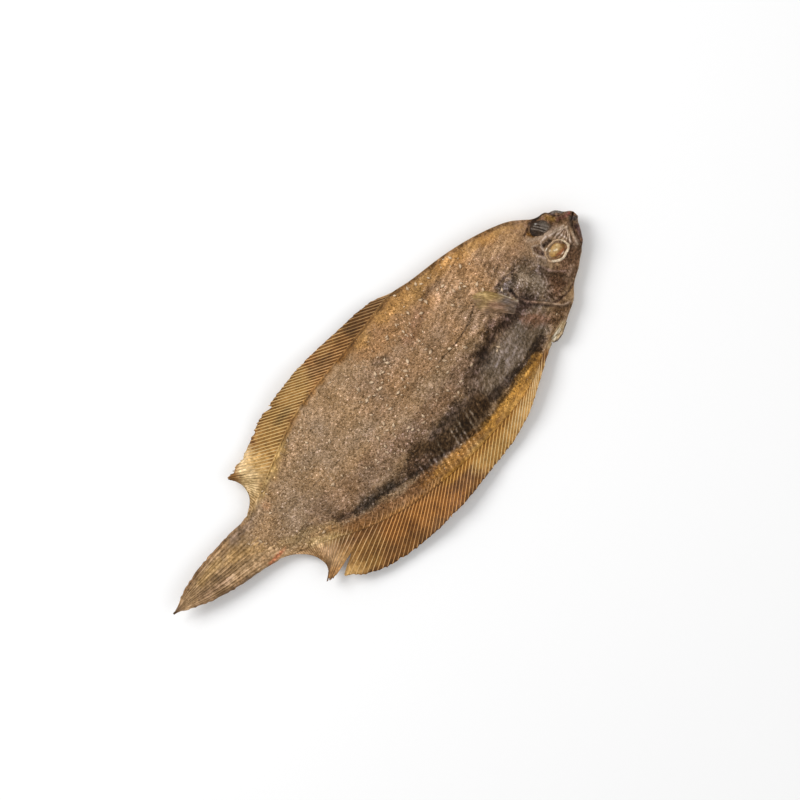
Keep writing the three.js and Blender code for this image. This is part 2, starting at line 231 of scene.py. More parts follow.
UPPER_POCKET_EDGE = [[201.1, 1.6], [201.4, 3.4], [202.7, 4.9], [205.2, 4.8]]
REAR_POCKET = [[199, 4.2], [199.8, 1.4]]
REAR_POCKET_EDGE = [[199.7, -1.2], [198.3, 1.2], [197.5, 3.8], [198.8, 6], [201, 4.6]]
SNOUT_STRINGS = [
    [[206.7, 4.2], [210, 4], [213.4, 3.3]],
    [[208.8, 2.5], [211.2, 2.9], [213.7, 2.2]],
    [[210.3, 1.7], [210.9, -0.9]],
    [[211, -2.9], [212.4, -0.6], [213.8, 2.2]],
    [[214.2, -0.8], [213.2, -3.2], [212.5, -5.5]],
]
SNOUT_KNOBS = [[[211.8, 9.2]], [[214.5, 9.9]], [[216.4, 8.1]], [[215.2, 6]], [[217.8, 5.5]], [[216.4, 1.4]]]
NAPE_CREASE = [[177.5, 4.2], [182, 4.6], [187.5, 4.3]]
print("points on the side line:", len(SIDE_LINE))

# %% Widths and heights of the paths
RELIEF = [  # path, width, height
    (FLANK_FURROW, 2.2, -1.5), (FLANK_END, 2.4, -0.9), (BELLY_FURROW, 1.6, -0.9),
    (SIDE_LINE, 0.42, -0.25), (BROW_RIDGE, 2, 0.7),
    (CHEEK_BONE, 0.6, 0.75), (CHEEK_GROOVE, 0.9, -0.6), (GILL_SEAM, 0.6, -0.6), (NAPE_CREASE, 0.5, -0.35),
    (MOUTH_SLIT, 0.5, -1.1), (UPPER_LIP, 0.8, 0.8), (LOWER_LIP, 0.8, 0.7),
    (UPPER_POCKET, 1.1, -1.7), (UPPER_POCKET_EDGE, 0.6, 0.7),
    (REAR_POCKET, 1, -1.3), (REAR_POCKET_EDGE, 0.6, 0.7), (BROW_GROOVE, 0.8, -0.7), (EYE_BAG, 1.1, -0.6),
    *((string, 0.45, 0.6) for string in SNOUT_STRINGS), *((knob, 1.2, 0.8) for knob in SNOUT_KNOBS),
    *((dent, 0.9, -0.9) for dent in SNOUT_DENTS),
]
RELIEF_BREAK = 0.45  # share by which a path's height varies along it
BELLY_BULGE = {"s": 166, "t": -17.8, "along": 14, "across": 5.5, "height": 0.9}


def distance_to(path, s, t):
    """Distance in mm to a line of straight stretches, or to a single point."""
    nearest = np.inf
    for start, end in zip(path[:-1] or path, path[1:] or path):
        ds, dt = end[0] - start[0], end[1] - start[1]
        along = ((s - start[0]) * ds + (t - start[1]) * dt) / max(ds * ds + dt * dt, 1e-9)
        along = np.clip(along, 0, 1)
        nearest = np.minimum(nearest, np.hypot(s - start[0] - along * ds, t - start[1] - along * dt))
    return nearest


def bell(value):
    return np.exp(-np.square(value))


print("paths of relief on the eyed side:", len(RELIEF))

# %% [markdown]
# ## Gill cover and slit
# Behind the cheek a bony plate, the gill cover, ends in a free edge with a dark slit behind it. The plate
# is a sector of a circle that lifts off the skin between two angles. The skin sinks just behind its edge,
# so a real gap stays there for the light to fall into.

# %% Measures of the gill cover
GILL = {"s": 200, "t": -2, "radius": 18.6, "inner": 6, "from": 166, "to": 258, "fade": 16, "close": 7}
GILL_CUT = {"angle": 221, "radius": 17.1}  # its lower edge is cut straight, this far from the middle
GILL_FLARE, GILL_CURVE, GILL_SETTLE = 1.2, 3, 0.35
GILL_EDGE = 0.45  # thickness of its free edge
GILL_SUNK = 1.6  # its inner end goes this deep
SLIT_DEPTH, SLIT_WIDTH = 0.9, 2
BLIND_SHARE = 0.5  # the blind side's gill cover flares less


def gill_stretch(degrees):
    """Share of the circle's radius that is left where the edge is cut straight."""
    aside = np.clip(np.abs(degrees - GILL_CUT["angle"]), 0, 60)
    return np.minimum(1, GILL_CUT["radius"] / np.cos(np.radians(aside)) / GILL["radius"])


def gill_place(s, t):
    """Distance and angle in degrees from the middle of the gill cover, as on a full circle."""
    angle = np.degrees(np.arctan2(t - GILL["t"], s - GILL["s"])) % 360
    return np.hypot(s - GILL["s"], t - GILL["t"]) / gill_stretch(angle), angle


def gill_free(degrees):
    """How far the edge stands free: 0 at both ends, 1 between."""
    opens = ease(degrees, GILL["from"], GILL["from"] + GILL["fade"])
    return opens * (1 - ease(degrees, GILL["to"] - GILL["close"], GILL["to"]))


def gill_slit(s, t):
    radius, degrees = gill_place(s, t)
    return -SLIT_DEPTH * bell((radius - GILL["radius"]) / SLIT_WIDTH - 0.5) * gill_free(degrees)


def gill_lift(s, t, flare):
    """Height of the gill cover's outer face over the skin, where it has one."""
    radius, degrees = gill_place(s, t)
    opening = np.minimum(radius / GILL["radius"], 1) ** GILL_CURVE * gill_free(degrees)
    return blend(-GILL_SETTLE, flare, opening)


gill_arc = np.radians(GILL["to"] - GILL["from"]) * GILL["radius"]
print("free edge of the gill cover in mm:", round(gill_arc, 1))

# %% [markdown]
# ## Height of the skin
# Everything that lies on the fish asks one function for the height of the skin under it. On the eyed side
# it adds the crown, the paths above, thin bones that show through at the fin bases, and soft lumps of
# several sizes. The blind side is pressed flat in the middle, where it lay on the drying rack.

# %% Sockets of the eyes
UPPER_EYE = {"s": 206.2, "t": 8.8, "along": 4.3, "across": 3.6, "turn": -25}
LOWER_EYE = {"s": 204.8, "t": -1.8, "along": 4.5, "across": 3.4, "turn": -6}
SOCKET_DEPTH = 0.9


def eye_place(eye, s, t):
    """1 on the edge of an eye, 0 in its middle."""
    turn, ds, dt = np.radians(eye["turn"]), s - eye["s"], t - eye["t"]
    along, aside = ds * np.cos(turn) + dt * np.sin(turn), dt * np.cos(turn) - ds * np.sin(turn)
    return np.hypot(along / eye["along"], aside / eye["across"])


def on_eye(eye, along, aside):
    """The place s, t for shares of an eye's length and width."""
    turn, ds, dt = np.radians(eye["turn"]), eye["along"] * along, eye["across"] * aside
    cos, sin = np.cos(turn), np.sin(turn)
    return eye["s"] + ds * cos - dt * sin, eye["t"] + ds * sin + dt * cos


print("edge of the upper eye:", np.round(on_eye(UPPER_EYE, 1, 0), 1))

# %% Strings at the mouth and lines on the gill cover
FIBRES = {"s": 214.6, "t": 2.6, "from": 150, "to": 262, "reach": 9, "count": 26, "height": 0.22}
FIBRES_OPEN, FIBRES_CLOSE = 14, 20  # degrees over which they fade at both ends of the fan
PLATE_LINES = {"s": 189.4, "t": 9, "count": 76, "height": 0.07}


def fibres(s, t):
    """Dried strings that run together at the corner of the mouth, -1 between them and 1 on them."""
    ds, dt = s - FIBRES["s"], t - FIBRES["t"]
    angle, far = np.degrees(np.arctan2(dt, ds)) % 360, np.hypot(ds, dt)
    opens = ease(angle, FIBRES["from"], FIBRES["from"] + FIBRES_OPEN)
    closes = ease(angle, FIBRES["to"] - FIBRES_CLOSE, FIBRES["to"])
    ends = ease(far, FIBRES["reach"] - 3, FIBRES["reach"])
    shown = opens * (1 - closes) * ease(far, 0.8, 2.5) * (1 - ends)
    turns = np.radians(angle) * FIBRES["count"] + 2.2 * lumps(s, t, 2.4, 15)
    return shown * np.sin(turns)


def plate_lines(s, t):
    """Fine lines that fan out over the gill cover's bone, -1 between them and 1 on them."""
    turns = PLATE_LINES["count"] * np.arctan2(s - PLATE_LINES["s"], PLATE_LINES["t"] - t)
    radius, degrees = gill_place(s, t)
    shown = ease(radius, 4, 8) * (1 - ease(radius, 16.5, 18)) * gill_free(degrees)
    return shown * np.sin(turns + 1.6 * lumps(s, t, 3, 17))


print("strings in a full turn:", FIBRES["count"], "and lines:", PLATE_LINES["count"])

# %% Bones under the skin
RIB_PITCH = 2.15  # bones that carry the fin rays
RIB_HEIGHT = 0.16
BAND_RIBS = [[110, -28], [128, -29.5], [140, -29], [150, -27.5]]  # where they show most
BAND_RIB_WIDTH, BAND_RIB_HEIGHT = 5.5, 0.36


def rib_count(s, t):
    """Bones passed since the tail tip."""
    return (s + 0.22 * np.abs(t) + 0.5 * lumps(s, t, 9, 11)) / RIB_PITCH


def bone_ribs(s, t, strength):
    """Thin bones across the fish, close to both fin bases."""
    return strength * np.sin(2 * np.pi * rib_count(s, t))


def fin_bones(s, t):
    """The bones along both rims, which end behind the gill."""
    return bone_ribs(s, t, RIB_HEIGHT * bell((inside_rim(s, t) - 3.5) / 3) * (1 - ease(s, 168, 182)))


print("bones passed at mid length:", round(float(rib_count(110.0, 0.0))))

# %% Lumps of the skin
SLANT_ALONG, SLANT_ASIDE = 0.94, 0.34  # cosine and sine of the slant of the muscle bands
SLANT_STRETCH = 0.16  # they are about six times as long as wide
COARSE_LUMPS = [(0.34, 13, 1), (0.22, 5.5, 2)]  # height, size and seed
HEAD_LUMPS = [(0.32, 2.1, 5), (0.16, 0.9, 6)]


def slanting(s, t, size, seed):
    """Long lumps that slant towards the tail, as muscle bands do under dried skin."""
    along, aside = s * SLANT_ALONG + t * SLANT_ASIDE, t * SLANT_ALONG - s * SLANT_ASIDE
    return lumps(along * SLANT_STRETCH, aside, size, seed)


def roughness_of_skin(s, t):
    """Lumps of the skin, rougher on the head and most of all on the snout."""
    coarse = layered(s, t, COARSE_LUMPS) + 0.12 * slanting(s, t, 1.5, 7)
    fine = 0.11 * lumps(s, t, 2.4, 3) + 0.08 * lumps(s * 0.45, t, 1.1, 4)
    head = ease(s, 182, 198)
    rough_head = layered(s, t, HEAD_LUMPS) + 0.25 * ease(s, 206, 212) * lumps(s, t, 1.4, 8)
    return coarse * (1 - 0.3 * head) + fine + head * rough_head


print("lumps at mid length in mm:", round(float(roughness_of_skin(120.0, 0.0)), 2))

# %% Skin of the eyed side
def eyed_relief(s, t):
    height = gill_slit(s, t) + roughness_of_skin(s, t)
    broken = 1 + RELIEF_BREAK * (lumps(s, t, 2.2, 12) + lumps(s, t, 0.9, 13))
    for path, width, top in RELIEF:
        height = height + top * broken * bell(distance_to(path, s, t) / width)
    bulge = bell((s - BELLY_BULGE["s"]) / BELLY_BULGE["along"])
    height = height + BELLY_BULGE["height"] * bulge * bell((t - BELLY_BULGE["t"]) / BELLY_BULGE["across"])
    for eye in (UPPER_EYE, LOWER_EYE):
        height = height - SOCKET_DEPTH * bell(eye_place(eye, s, t) ** 2)
    height = height + FIBRES["height"] * fibres(s, t) + PLATE_LINES["height"] * plate_lines(s, t)
    in_band = bell(distance_to(BAND_RIBS, s, t) / BAND_RIB_WIDTH)
    return height + fin_bones(s, t) + bone_ribs(s, t, BAND_RIB_HEIGHT * in_band)


def bow(s, t):
    return (1 - across(s, t) ** CROWN_POWER) ** CROWN_ROUND


def plain_skin(s, t):
    """The eyed side without its relief."""
    return rim_height(s) + RIM_HALF + crown(s) * bow(s, t)


def eyed_skin(s, t):
    return plain_skin(s, t) + eyed_relief(s, t) * (1 - across(s, t) ** RELIEF_FADE)


print("height of the skin at mid length in mm:", round(float(eyed_skin(120.0, 0.0)), 2))

# %% Skin of the blind side
BLIND_RELIEF = [
    (MOUTH_SLIT, 0.6, -0.8), (UPPER_LIP, 0.9, 0.5), (LOWER_LIP, 0.9, 0.5), (CHEEK_BONE, 0.8, 0.6),
    (CHEEK_GROOVE, 1, -0.6), (GILL_SEAM, 0.8, -0.4), (FLANK_FURROW, 2.4, -1),
]
BLIND_SHIFT = 300  # takes its lumps from another part of the table
MUSCLE_PITCH, MUSCLE_HEIGHT = 6.4, 0.12
SCALE_ROOM = 0.27  # left under the blind side for its scales
FLOOR_SOFT = 0.18  # how softly the belly turns flat where it touches the table


def muscle_bands(s, t):
    """The bent bands of muscle that show through the thin skin of the blind side, from -1 to 1."""
    aside = np.abs(t + 2)
    bent = s + 0.55 * aside - 0.5 * np.maximum(0, aside - 12) + 1.5 * lumps(s, t, 12, 16)
    return np.sin(2 * np.pi * bent / MUSCLE_PITCH) * ease(inside_rim(s, t), 2, 8) * (1 - ease(s, 160, 176))


def blind_skin(s, t):
    line = 0.25 * bell(distance_to(SIDE_LINE, s, t) / 0.7)
    slit = BLIND_SHARE * gill_slit(s, t)
    relief = 0.6 * roughness_of_skin(s + BLIND_SHIFT, t) + fin_bones(s, t) + line - slit
    for path, width, top in BLIND_RELIEF:
        relief = relief - top * bell(distance_to(path, s, t) / width)
    relief = relief + MUSCLE_HEIGHT * muscle_bands(s, t)
    height = rim_height(s) - RIM_HALF - keel(s) * bow(s, t) + relief * (1 - across(s, t) ** RELIEF_FADE)
    return SCALE_ROOM + np.logaddexp(0, (height - SCALE_ROOM) / FLOOR_SOFT) * FLOOR_SOFT


def skin(s, t, face):
    """Height of the eyed side (face 1) or the blind side (face -1)."""
    return eyed_skin(s, t) if face > 0 else blind_skin(s, t)


print("thickness at mid length in mm:", round(float(eyed_skin(120.0, 0.0) - blind_skin(120.0, 0.0)), 2))

# %% [markdown]
# ## Closed pieces from rings
# The body, the fins, the gill covers and the eyes are all skins stretched over a row of rings. Blender's
# Skin modifier or a subdivided cage would do for a smooth animal, but scales and rays need the points
# where the functions put them. A ring row with capped ends is closed by construction, and its faces are
# then turned outwards.

# %% Stretching a skin over rings
def piece_over(name, rings, looped=False):
    """A closed mesh over rings[row, point] in fish millimetres. Looped rings join the last to the first."""
    rows, around = rings.shape[:2]
    index = np.arange(rows * around).reshape(rows, around)
    ahead = np.roll(index, -1, 0)
    here, ahead = (index, ahead) if looped else (index[:-1], ahead[:-1])
    quads = np.stack([here, np.roll(here, -1, 1), np.roll(ahead, -1, 1), ahead], -1).reshape(-1, 4)
    caps = [] if looped else [index[0, ::-1].tolist(), index[-1].tolist()]
    mesh = bpy.data.meshes.new(name)
    mesh.from_pydata(in_frame(rings.reshape(-1, 3)), [], quads.tolist() + caps)
    shell = bmesh.new()
    shell.from_mesh(mesh)
    bmesh.ops.recalc_face_normals(shell, faces=shell.faces[:])
    if shell.calc_volume(signed=True) < 0:
        bmesh.ops.reverse_faces(shell, faces=shell.faces[:])
    shell.to_mesh(mesh)
    shell.free()
    mesh.shade_smooth()
    return mesh


def fish_points(mesh):
    """A mesh's points in fish millimetres, as s, t and z."""
    points = np.empty(len(mesh.vertices) * 3)
    mesh.vertices.foreach_get("co", points)
    return (points.reshape(-1, 3) / MM - TAIL_TIP).T


def triangle_count(mesh):
    mesh.calc_loop_triangles()
    return len(mesh.loop_triangles)


print("helpers for closed pieces are ready")

# %% The body
EYED_POINTS, BLIND_POINTS = 128, 70
RIM_ROUND = 0.2  # the rim bulges this far between its two edges
EVEN_SHARE = 0.6  # the rest of the spacing gathers points near the rims
BODY_STATIONS = [(30, 165, 0.56), (165, 196, 0.42), (196, LENGTH - 0.1, 0.25)]  # from, to, step

stations = np.concatenate([np.arange(*part) for part in BODY_STATIONS] + [[LENGTH]])


def places_across(count):
    even = np.linspace(0, 1, count)
    return blend((1 - np.cos(np.pi * even)) / 2, even, EVEN_SHARE)


def body_half(face, count):
    s = np.repeat(stations[:, None], count, 1)
    t = blend(belly_rim(s), back_rim(s), places_across(count))
    return np.stack([s, t, skin(s, t, face)], -1)


def rim_line(rim, side):
    knobs = 0.35 * lumps(stations, stations * 0, 2.3, 14 + side) * ease(stations, 200, 208)
    return np.stack([stations, rim(stations) + side * RIM_ROUND + knobs, rim_height(stations)], -1)[:, None]


body_rings = np.concatenate(
    [
        body_half(1, EYED_POINTS), rim_line(back_rim, 1),
        body_half(-1, BLIND_POINTS)[:, ::-1], rim_line(belly_rim, -1),
    ],
    axis=1,
)
body_mesh = piece_over("body_skin", body_rings)
print("body:", triangle_count(body_mesh), "triangles")

# %% [markdown]
# ## Gill covers
# Each cover is a row of ribs round the middle of its circle. The outer face follows the skin and lifts
# towards the free edge. The inner face stays close under it there and dives into the head further in, so
# the edge is a thin bone plate with a gap behind it.

# %% Both gill covers
GILL_RIBS, GILL_ROWS = 110, 44


def gill_cover(name, face):
    flare = GILL_FLARE * (1 if face > 0 else BLIND_SHARE)
    degrees, radius = np.meshgrid(
        np.linspace(GILL["from"], GILL["to"], GILL_RIBS),
        np.linspace(GILL["inner"], GILL["radius"], GILL_ROWS),
        indexing="ij",
    )
    fray = 0.35 * lumps(degrees, radius * 0, 7, 21) * (radius / GILL["radius"]) ** 6
    reach = (radius + fray) * gill_stretch(degrees)
    s = GILL["s"] + reach * np.cos(np.radians(degrees))
    t = GILL["t"] + reach * np.sin(np.radians(degrees))
    outer = skin(s, t, face) + face * gill_lift(s, t, flare)
    near_edge = ease(radius, GILL["radius"] - 5, GILL["radius"]) * gill_free(degrees)
    inner = outer - face * blend(GILL_SUNK, GILL_EDGE, near_edge)
    heights = [np.maximum(SCALE_ROOM, height) for height in (outer, inner)]
    shown, hidden = (np.stack([s, t, height], -1) for height in heights)
    return piece_over(name, np.concatenate([shown, hidden[:, ::-1]], axis=1))


gill_meshes = {1: gill_cover("gill_cover_eyed", 1), -1: gill_cover("gill_cover_blind", -1)}
print("gill covers:", [triangle_count(mesh) for mesh in gill_meshes.values()], "triangles")

# %% [markdown]
# ## The long fins
# A row of rays stands along each rim, with thin skin between them, swept back towards the tail. Ahead of
# its middle the back fin has dried folded down under the body's edge. One function places any point of a
# fin from its station on the rim and its share of the ray length, so the skin and the rays agree.

# %% Rows of the long fins
BACK_FIN = [  # station, sweep in degrees from the line to the tail, ray length, fold in degrees
    [47, 92, 1, 0], [52, 88, 3.2, 0], [56, 70, 6.6, 0], [60, 51, 11, 0], [64.5, 36, 16.2, 0],
    [70, 30, 16.6, 0], [77, 27, 15.4, 0], [86, 27, 16.4, 0], [97, 26, 18.2, 0], [108, 26, 19, 0],
    [120, 25, 19.8, 0], [130, 25, 16.8, 0], [140, 26, 11.6, 0], [147, 27, 9, 16], [154, 30, 6.8, 66],
    [168, 32, 6.4, 76], [190, 34, 5.6, 78], [204, 40, 2.4, 78],
]
BELLY_FIN = [
    [47, 92, 0.8, 0], [50, 90, 1.3, 0], [54, 88, 3.8, 0], [58, 74, 7.9, 0], [62, 53, 12, 0],
    [66, 35, 17.8, 0], [70, 26, 19.4, 0], [74, 20, 21.2, 0], [79, 20, 22, 0], [86, 24, 24.2, 0],
    [96, 29, 25.2, 0], [108, 34.5, 22.8, 0], [120, 37, 20.8, 0], [130, 38, 19.4, 0], [140, 38, 18, 0],
    [150, 38, 17.3, 0], [160, 38, 16.4, 0], [168, 40, 14.6, 0], [174, 41, 11.4, 0], [178, 43, 6.4, 0],
    [182, 45, 1.6, 0],
]
FINS = {  # ray is a share of the full ray radius, spacing lies between two rays, square to them
    "back_fin": {
        "rows": BACK_FIN, "rim": back_rim, "side": 1, "ray": 0.95, "worn": [[84.8, 0.07], [97.2, 0.13]],
        "spacing": [[47, 0.95], [62, 0.95], [72, 0.74], [84, 0.74], [105, 0.84], [204, 0.9]],
    },
    "belly_fin": {
        "rows": BELLY_FIN, "rim": belly_rim, "side": -1, "ray": 0.92, "worn": [[76.4, 0.5]],
        "spacing": [[47, 0.8], [80, 0.8], [100, 0.92], [135, 1.4], [182, 1.4]],
    },
}


print("rows of the long fins:", {name: len(fin["rows"]) for name, fin in FINS.items()})

# %% Points of the long fins
FIN_ROOT, FIN_INSET = 2.4, 0.6  # how deep a fin is rooted, and where it leaves the body
FIN_WAVE = {"height": 1.1, "length": 52, "curl": 0.9, "full": 10}  # wave and lift of a fin's edge
RAY_UNEVEN = 0.02  # share by which ray lengths vary


def worn_share(fin, s):
    """Share of the ray length that is left where the edge is torn."""
    left = 1
    for place, lost in fin["worn"]:
        left = left - lost * bell((s - place) / 1.1)
    return left


def ray_length(fin, s, number):
    plain = curve_through(fin["rows"], 2)(s) * worn_share(fin, s)
    return plain * (1 + RAY_UNEVEN * uneven(number))


def fin_point(fin, s, length, share, thick):
    """A point of a fin: share runs from -1, rooted in the body, over 0 on the rim to 1 on the edge."""
    sweep, fold = (np.radians(curve_through(fin["rows"], column)(s)) for column in (1, 3))
    free = np.maximum(share, 0)
    bend = np.where(share < 0, 0, fold)
    out = np.where(share < 0, FIN_ROOT * share, share * length)
    reach = out * np.sin(sweep)
    wave = FIN_WAVE["height"] * np.sin(2 * np.pi * s / FIN_WAVE["length"] + fin["side"]) + FIN_WAVE["curl"]
    wave = wave * np.minimum(1, length / FIN_WAVE["full"]) * free**2
    lift = wave + 0.2 * lumps(s, free * 9, 3, 32) * free
    t = fin["rim"](s) + fin["side"] * (reach * np.cos(bend) + thick * np.sin(bend) - FIN_INSET)
    z = rim_height(s) - reach * np.sin(bend) + (thick + lift) * np.cos(bend)
    return np.stack([s - out * np.cos(sweep), t, z], -1)


def rays_passed(fin):
    """Stations along the rim, and how many rays stand between the first station and each."""
    s = np.linspace(fin["rows"][0][0], fin["rows"][-1][0], 900)
    dense = np.sin(np.radians(curve_through(fin["rows"], 1)(s))) / curve_through(fin["spacing"])(s)
    return s, np.concatenate([[0], np.cumsum((dense[1:] + dense[:-1]) / 2 * np.diff(s))])


print("rays:", {name: int(rays_passed(fin)[1][-1]) for name, fin in FINS.items()})

# %% Skin between the rays
FIN_COLUMNS_PER_RAY = 4
FIN_ROWS = 22
SKIN_HALF = [0.1, 0.05]  # half thickness of the fin's skin, at the rim and at the edge
SKIN_PLEAT = 0.1  # it sags between two rays
SKIN_SHORT = 0.2  # and ends this far inside their tips
EVEN_EDGE = [60, 66]  # behind this stretch of stations the edge is whole


def fin_skin(name, fin):
    station, passed = rays_passed(fin)
    rays = int(passed[-1])
    count = np.linspace(0, rays, rays * FIN_COLUMNS_PER_RAY + 1)[:, None]
    s = np.interp(count, passed, station)
    ray, between = np.floor(count), count - np.floor(count)
    ends = [ray_length(fin, s, ray + step) for step in (0, 1)]
    hollow = np.sin(np.pi * between)
    length = blend(*ends, between)
    torn = 0.7 * ease(lumps(s, s * 0, 3.1, 33), 0.35, 0.8)
    fray = 0.4 * lumps(s, s * 0, 0.9, 31) - torn - SKIN_SHORT * hollow
    length = np.maximum(length + fray * np.minimum(1, length / 8) * ease(s, *EVEN_EDGE), length / 2)
    share = np.concatenate([[-1], np.linspace(0, 1, FIN_ROWS) ** 0.85])[None, :]
    half = blend(*SKIN_HALF, np.maximum(share, 0))
    sag = -SKIN_PLEAT * hollow * np.minimum(1, np.maximum(share, 0) * 6)
    faces = [fin_point(fin, s + 0 * share, length, share + 0 * s, sag + face * half) for face in (1, -1)]
    outer = ease(share, 0.9, 1) * blend(1, 0.5, ease(s, *EVEN_EDGE))
    edge_shares[name] = np.concatenate([outer, outer[:, ::-1]], axis=1).ravel()
    return piece_over(name, np.concatenate([faces[0], faces[1][:, ::-1]], axis=1))


edge_shares = {}  # how close each point is to the edge, which is dark, most of all on the rear corners
fin_meshes = {name: fin_skin(name, fin) for name, fin in FINS.items()}
print("fin skins:", {name: triangle_count(mesh) for name, mesh in fin_meshes.items()}, "triangles")

# %% [markdown]
# ## The tail fin
# The tail has dried shut like a wet brush: its rays run together in one dark point. Sections along the tail
# give its two edges and its thickness, and grooves between the rays narrow with it, because they keep their
# share of its width.

# %% The closed tail
TAIL_BACK = [
    [0, 0.3], [2.4, 0.7], [4.6, 1.8], [8, 3.3], [12, 4.5], [20, 6], [28, 6.9], [38, 7.3], [47, 7.4],
]
TAIL_BELLY = [
    [0, -0.4], [2.4, -0.9], [4.6, -2.3], [8, -4], [12, -5.9], [16, -7.4], [24, -9.6], [32, -11],
    [40, -12.5], [47, -14],
]
TAIL_HALF = [[0, 0.35], [14, 0.7], [30, 1.2], [47, 1.9]]
TAIL_ROUND, TAIL_EDGE = 4, 0.18  # how square its edges are, and half their thickness
TAIL_RAYS = 13
TAIL_GROOVE = 0.3
TAIL_STATIONS, TAIL_POINTS = 130, 150
tail_back, tail_belly, tail_half = (curve_through(rows) for rows in (TAIL_BACK, TAIL_BELLY, TAIL_HALF))


def ray_stray(s, share):
    """How far a tail ray strays from its even place, as a share of the tail's width."""
    return 0.016 * lumps(share * 11, s * 0.03, 1, 40)


def tail_point(s, share, face, raised=0):
    """A point of the tail: share runs from its belly edge to its back edge."""
    half = tail_half(s)
    spaced = share + ray_stray(s, share)
    grooves = (0.5 - 0.5 * np.cos(2 * np.pi * spaced * TAIL_RAYS)) ** 0.7
    swell = np.sqrt(np.maximum(0, 1 - (2 * share - 1) ** TAIL_ROUND)) * half
    rough = 0.1 * lumps(s * 0.2, share * 40, 1.3, 41 + face) + 0.22 * lumps(s, share * 9, 5, 43 + face)
    height = swell + (TAIL_GROOVE * (grooves - 0.6) + rough) * np.minimum(1, half) * ease(swell, 0, 0.6)
    fray = 0.25 * lumps(s, share * 0, 1.3, 45) * (2 * share - 1) ** 6
    t = blend(tail_belly(s), tail_back(s), share) + fray
    return np.stack([s, t, rim_height(s) + face * (np.maximum(height, TAIL_EDGE) + raised)], -1)


def tail_skin():
    s = np.linspace(0, TAIL_BACK[-1][0], TAIL_STATIONS)[:, None]
    share = np.linspace(0, 1, TAIL_POINTS)[None, :]
    s, share = s + 0 * share, share + 0 * s
    eyed, blind = (tail_point(s, share, face) for face in (1, -1))
    return piece_over("tail_fin", np.concatenate([eyed, blind[:, ::-1]], axis=1))


fin_meshes["tail_fin"] = tail_skin()
print("tail:", triangle_count(fin_meshes["tail_fin"]), "triangles")

# %% [markdown]
# ## The small fins
# Behind the gill a little fan, the chest fin, is glued flat to the skin, and a shorter spiky one sits at
# the throat. Both sides of the fish have them. Each is a sheet draped on the skin: its height is that of
# the skin below, plus its own thickness.

# %% Measures of the chest and throat fins
SMALL_FINS = {  # from and to are the outer rays' angles, last is the last ray's share of the length
    "chest_fin_eyed": {
        "face": 1, "s": 178.4, "t": -7, "length": 20, "from": 112, "to": 127, "bend": 11,
        "base": 5, "last": 0.66, "rays": 13, "torn": 0.07, "round": 0,
    },
    "chest_fin_blind": {
        "face": -1, "s": 179, "t": -6, "length": 15, "from": 128, "to": 152, "bend": 4,
        "base": 3.6, "last": 0.7, "rays": 9, "torn": 0.07, "round": 0,
    },
    "throat_fin_eyed": {
        "face": 1, "s": 188.4, "t": -23.4, "length": 9.8, "from": 191, "to": 205, "bend": 0,
        "base": 2.3, "last": 1, "rays": 6, "torn": 0.01, "round": 0.7,
    },
    "throat_fin_blind": {
        "face": -1, "s": 187, "t": -21.5, "length": 8, "from": 178, "to": 200, "bend": 0,
        "base": 2.2, "last": 0.9, "rays": 6, "torn": 0.02, "round": 0.6,
    },
}
print("rays of the small fins:", {name: fin["rays"] for name, fin in SMALL_FINS.items()})

# %% Skins of the small fins
SMALL_LIFT = 0.34  # a small fin lies this far over the skin
SMALL_THICK = 0.3
SMALL_ROWS, SMALL_COLUMNS = 26, 6  # points along a ray, and from one ray to the next
SMALL_PLEAT = 0.12  # the skin sags between two rays
SMALL_ROOTED = 0.6  # and is sunk this deep over its first rows


def small_fin_point(fin, place, share, raised=0):
    """place runs over the fan from its first to its last ray, share from its base to the tips."""
    middle = np.radians((fin["from"] + fin["to"]) / 2)
    angle = np.radians(blend(fin["from"], fin["to"], place) + share * (fin["bend"] + 5 * (place - 0.5)))
    aside = (place - 0.5) * fin["base"]
    longest = np.minimum(1, 0.78 + 0.75 * place) * blend(1, fin["last"], np.maximum(0, place - 0.3) / 0.7)
    longest = longest * np.sqrt(1 - fin["round"] * (2 * place - 1) ** 2)
    out = share * fin["length"] * longest * (1 + fin["torn"] * uneven(np.round(place * 40)))
    s = fin["s"] + out * np.cos(angle) - aside * np.sin(middle)
    t = fin["t"] + out * np.sin(angle) + aside * np.cos(middle)
    under = np.where(t < belly_rim(s), rim_height(s), skin(s, t, fin["face"]))
    lift = SMALL_LIFT * ease(share, 0, 0.2) * (1 + 0.5 * lumps(place * 7, share * 4, 1, 51)) + raised
    height = under + fin["face"] * lift
    return np.stack([s, t, np.maximum(height, SCALE_ROOM)], -1)


def small_fin_skin(name, fin):
    columns = (fin["rays"] - 1) * SMALL_COLUMNS + 1
    place, share = np.meshgrid(np.linspace(0, 1, columns), np.linspace(0, 1, SMALL_ROWS), indexing="ij")
    hollow = np.sin(np.pi * (place * (fin["rays"] - 1) % 1))
    reach = share * (0.97 - fin["torn"] * hollow)
    top = small_fin_point(fin, place, reach, -SMALL_PLEAT * hollow)
    under = small_fin_point(fin, place, reach, -SMALL_PLEAT * hollow - SMALL_THICK)
    under[:, :3, 2] -= fin["face"] * SMALL_ROOTED
    under[..., 2] = np.maximum(under[..., 2], SCALE_ROOM / 2)
    return piece_over(name, np.concatenate([top, under[:, ::-1]], axis=1))


for small_name, small in SMALL_FINS.items():
    fin_meshes[small_name] = small_fin_skin(small_name, small)
print("small fins:", {name: triangle_count(fin_meshes[name]) for name in SMALL_FINS}, "triangles")
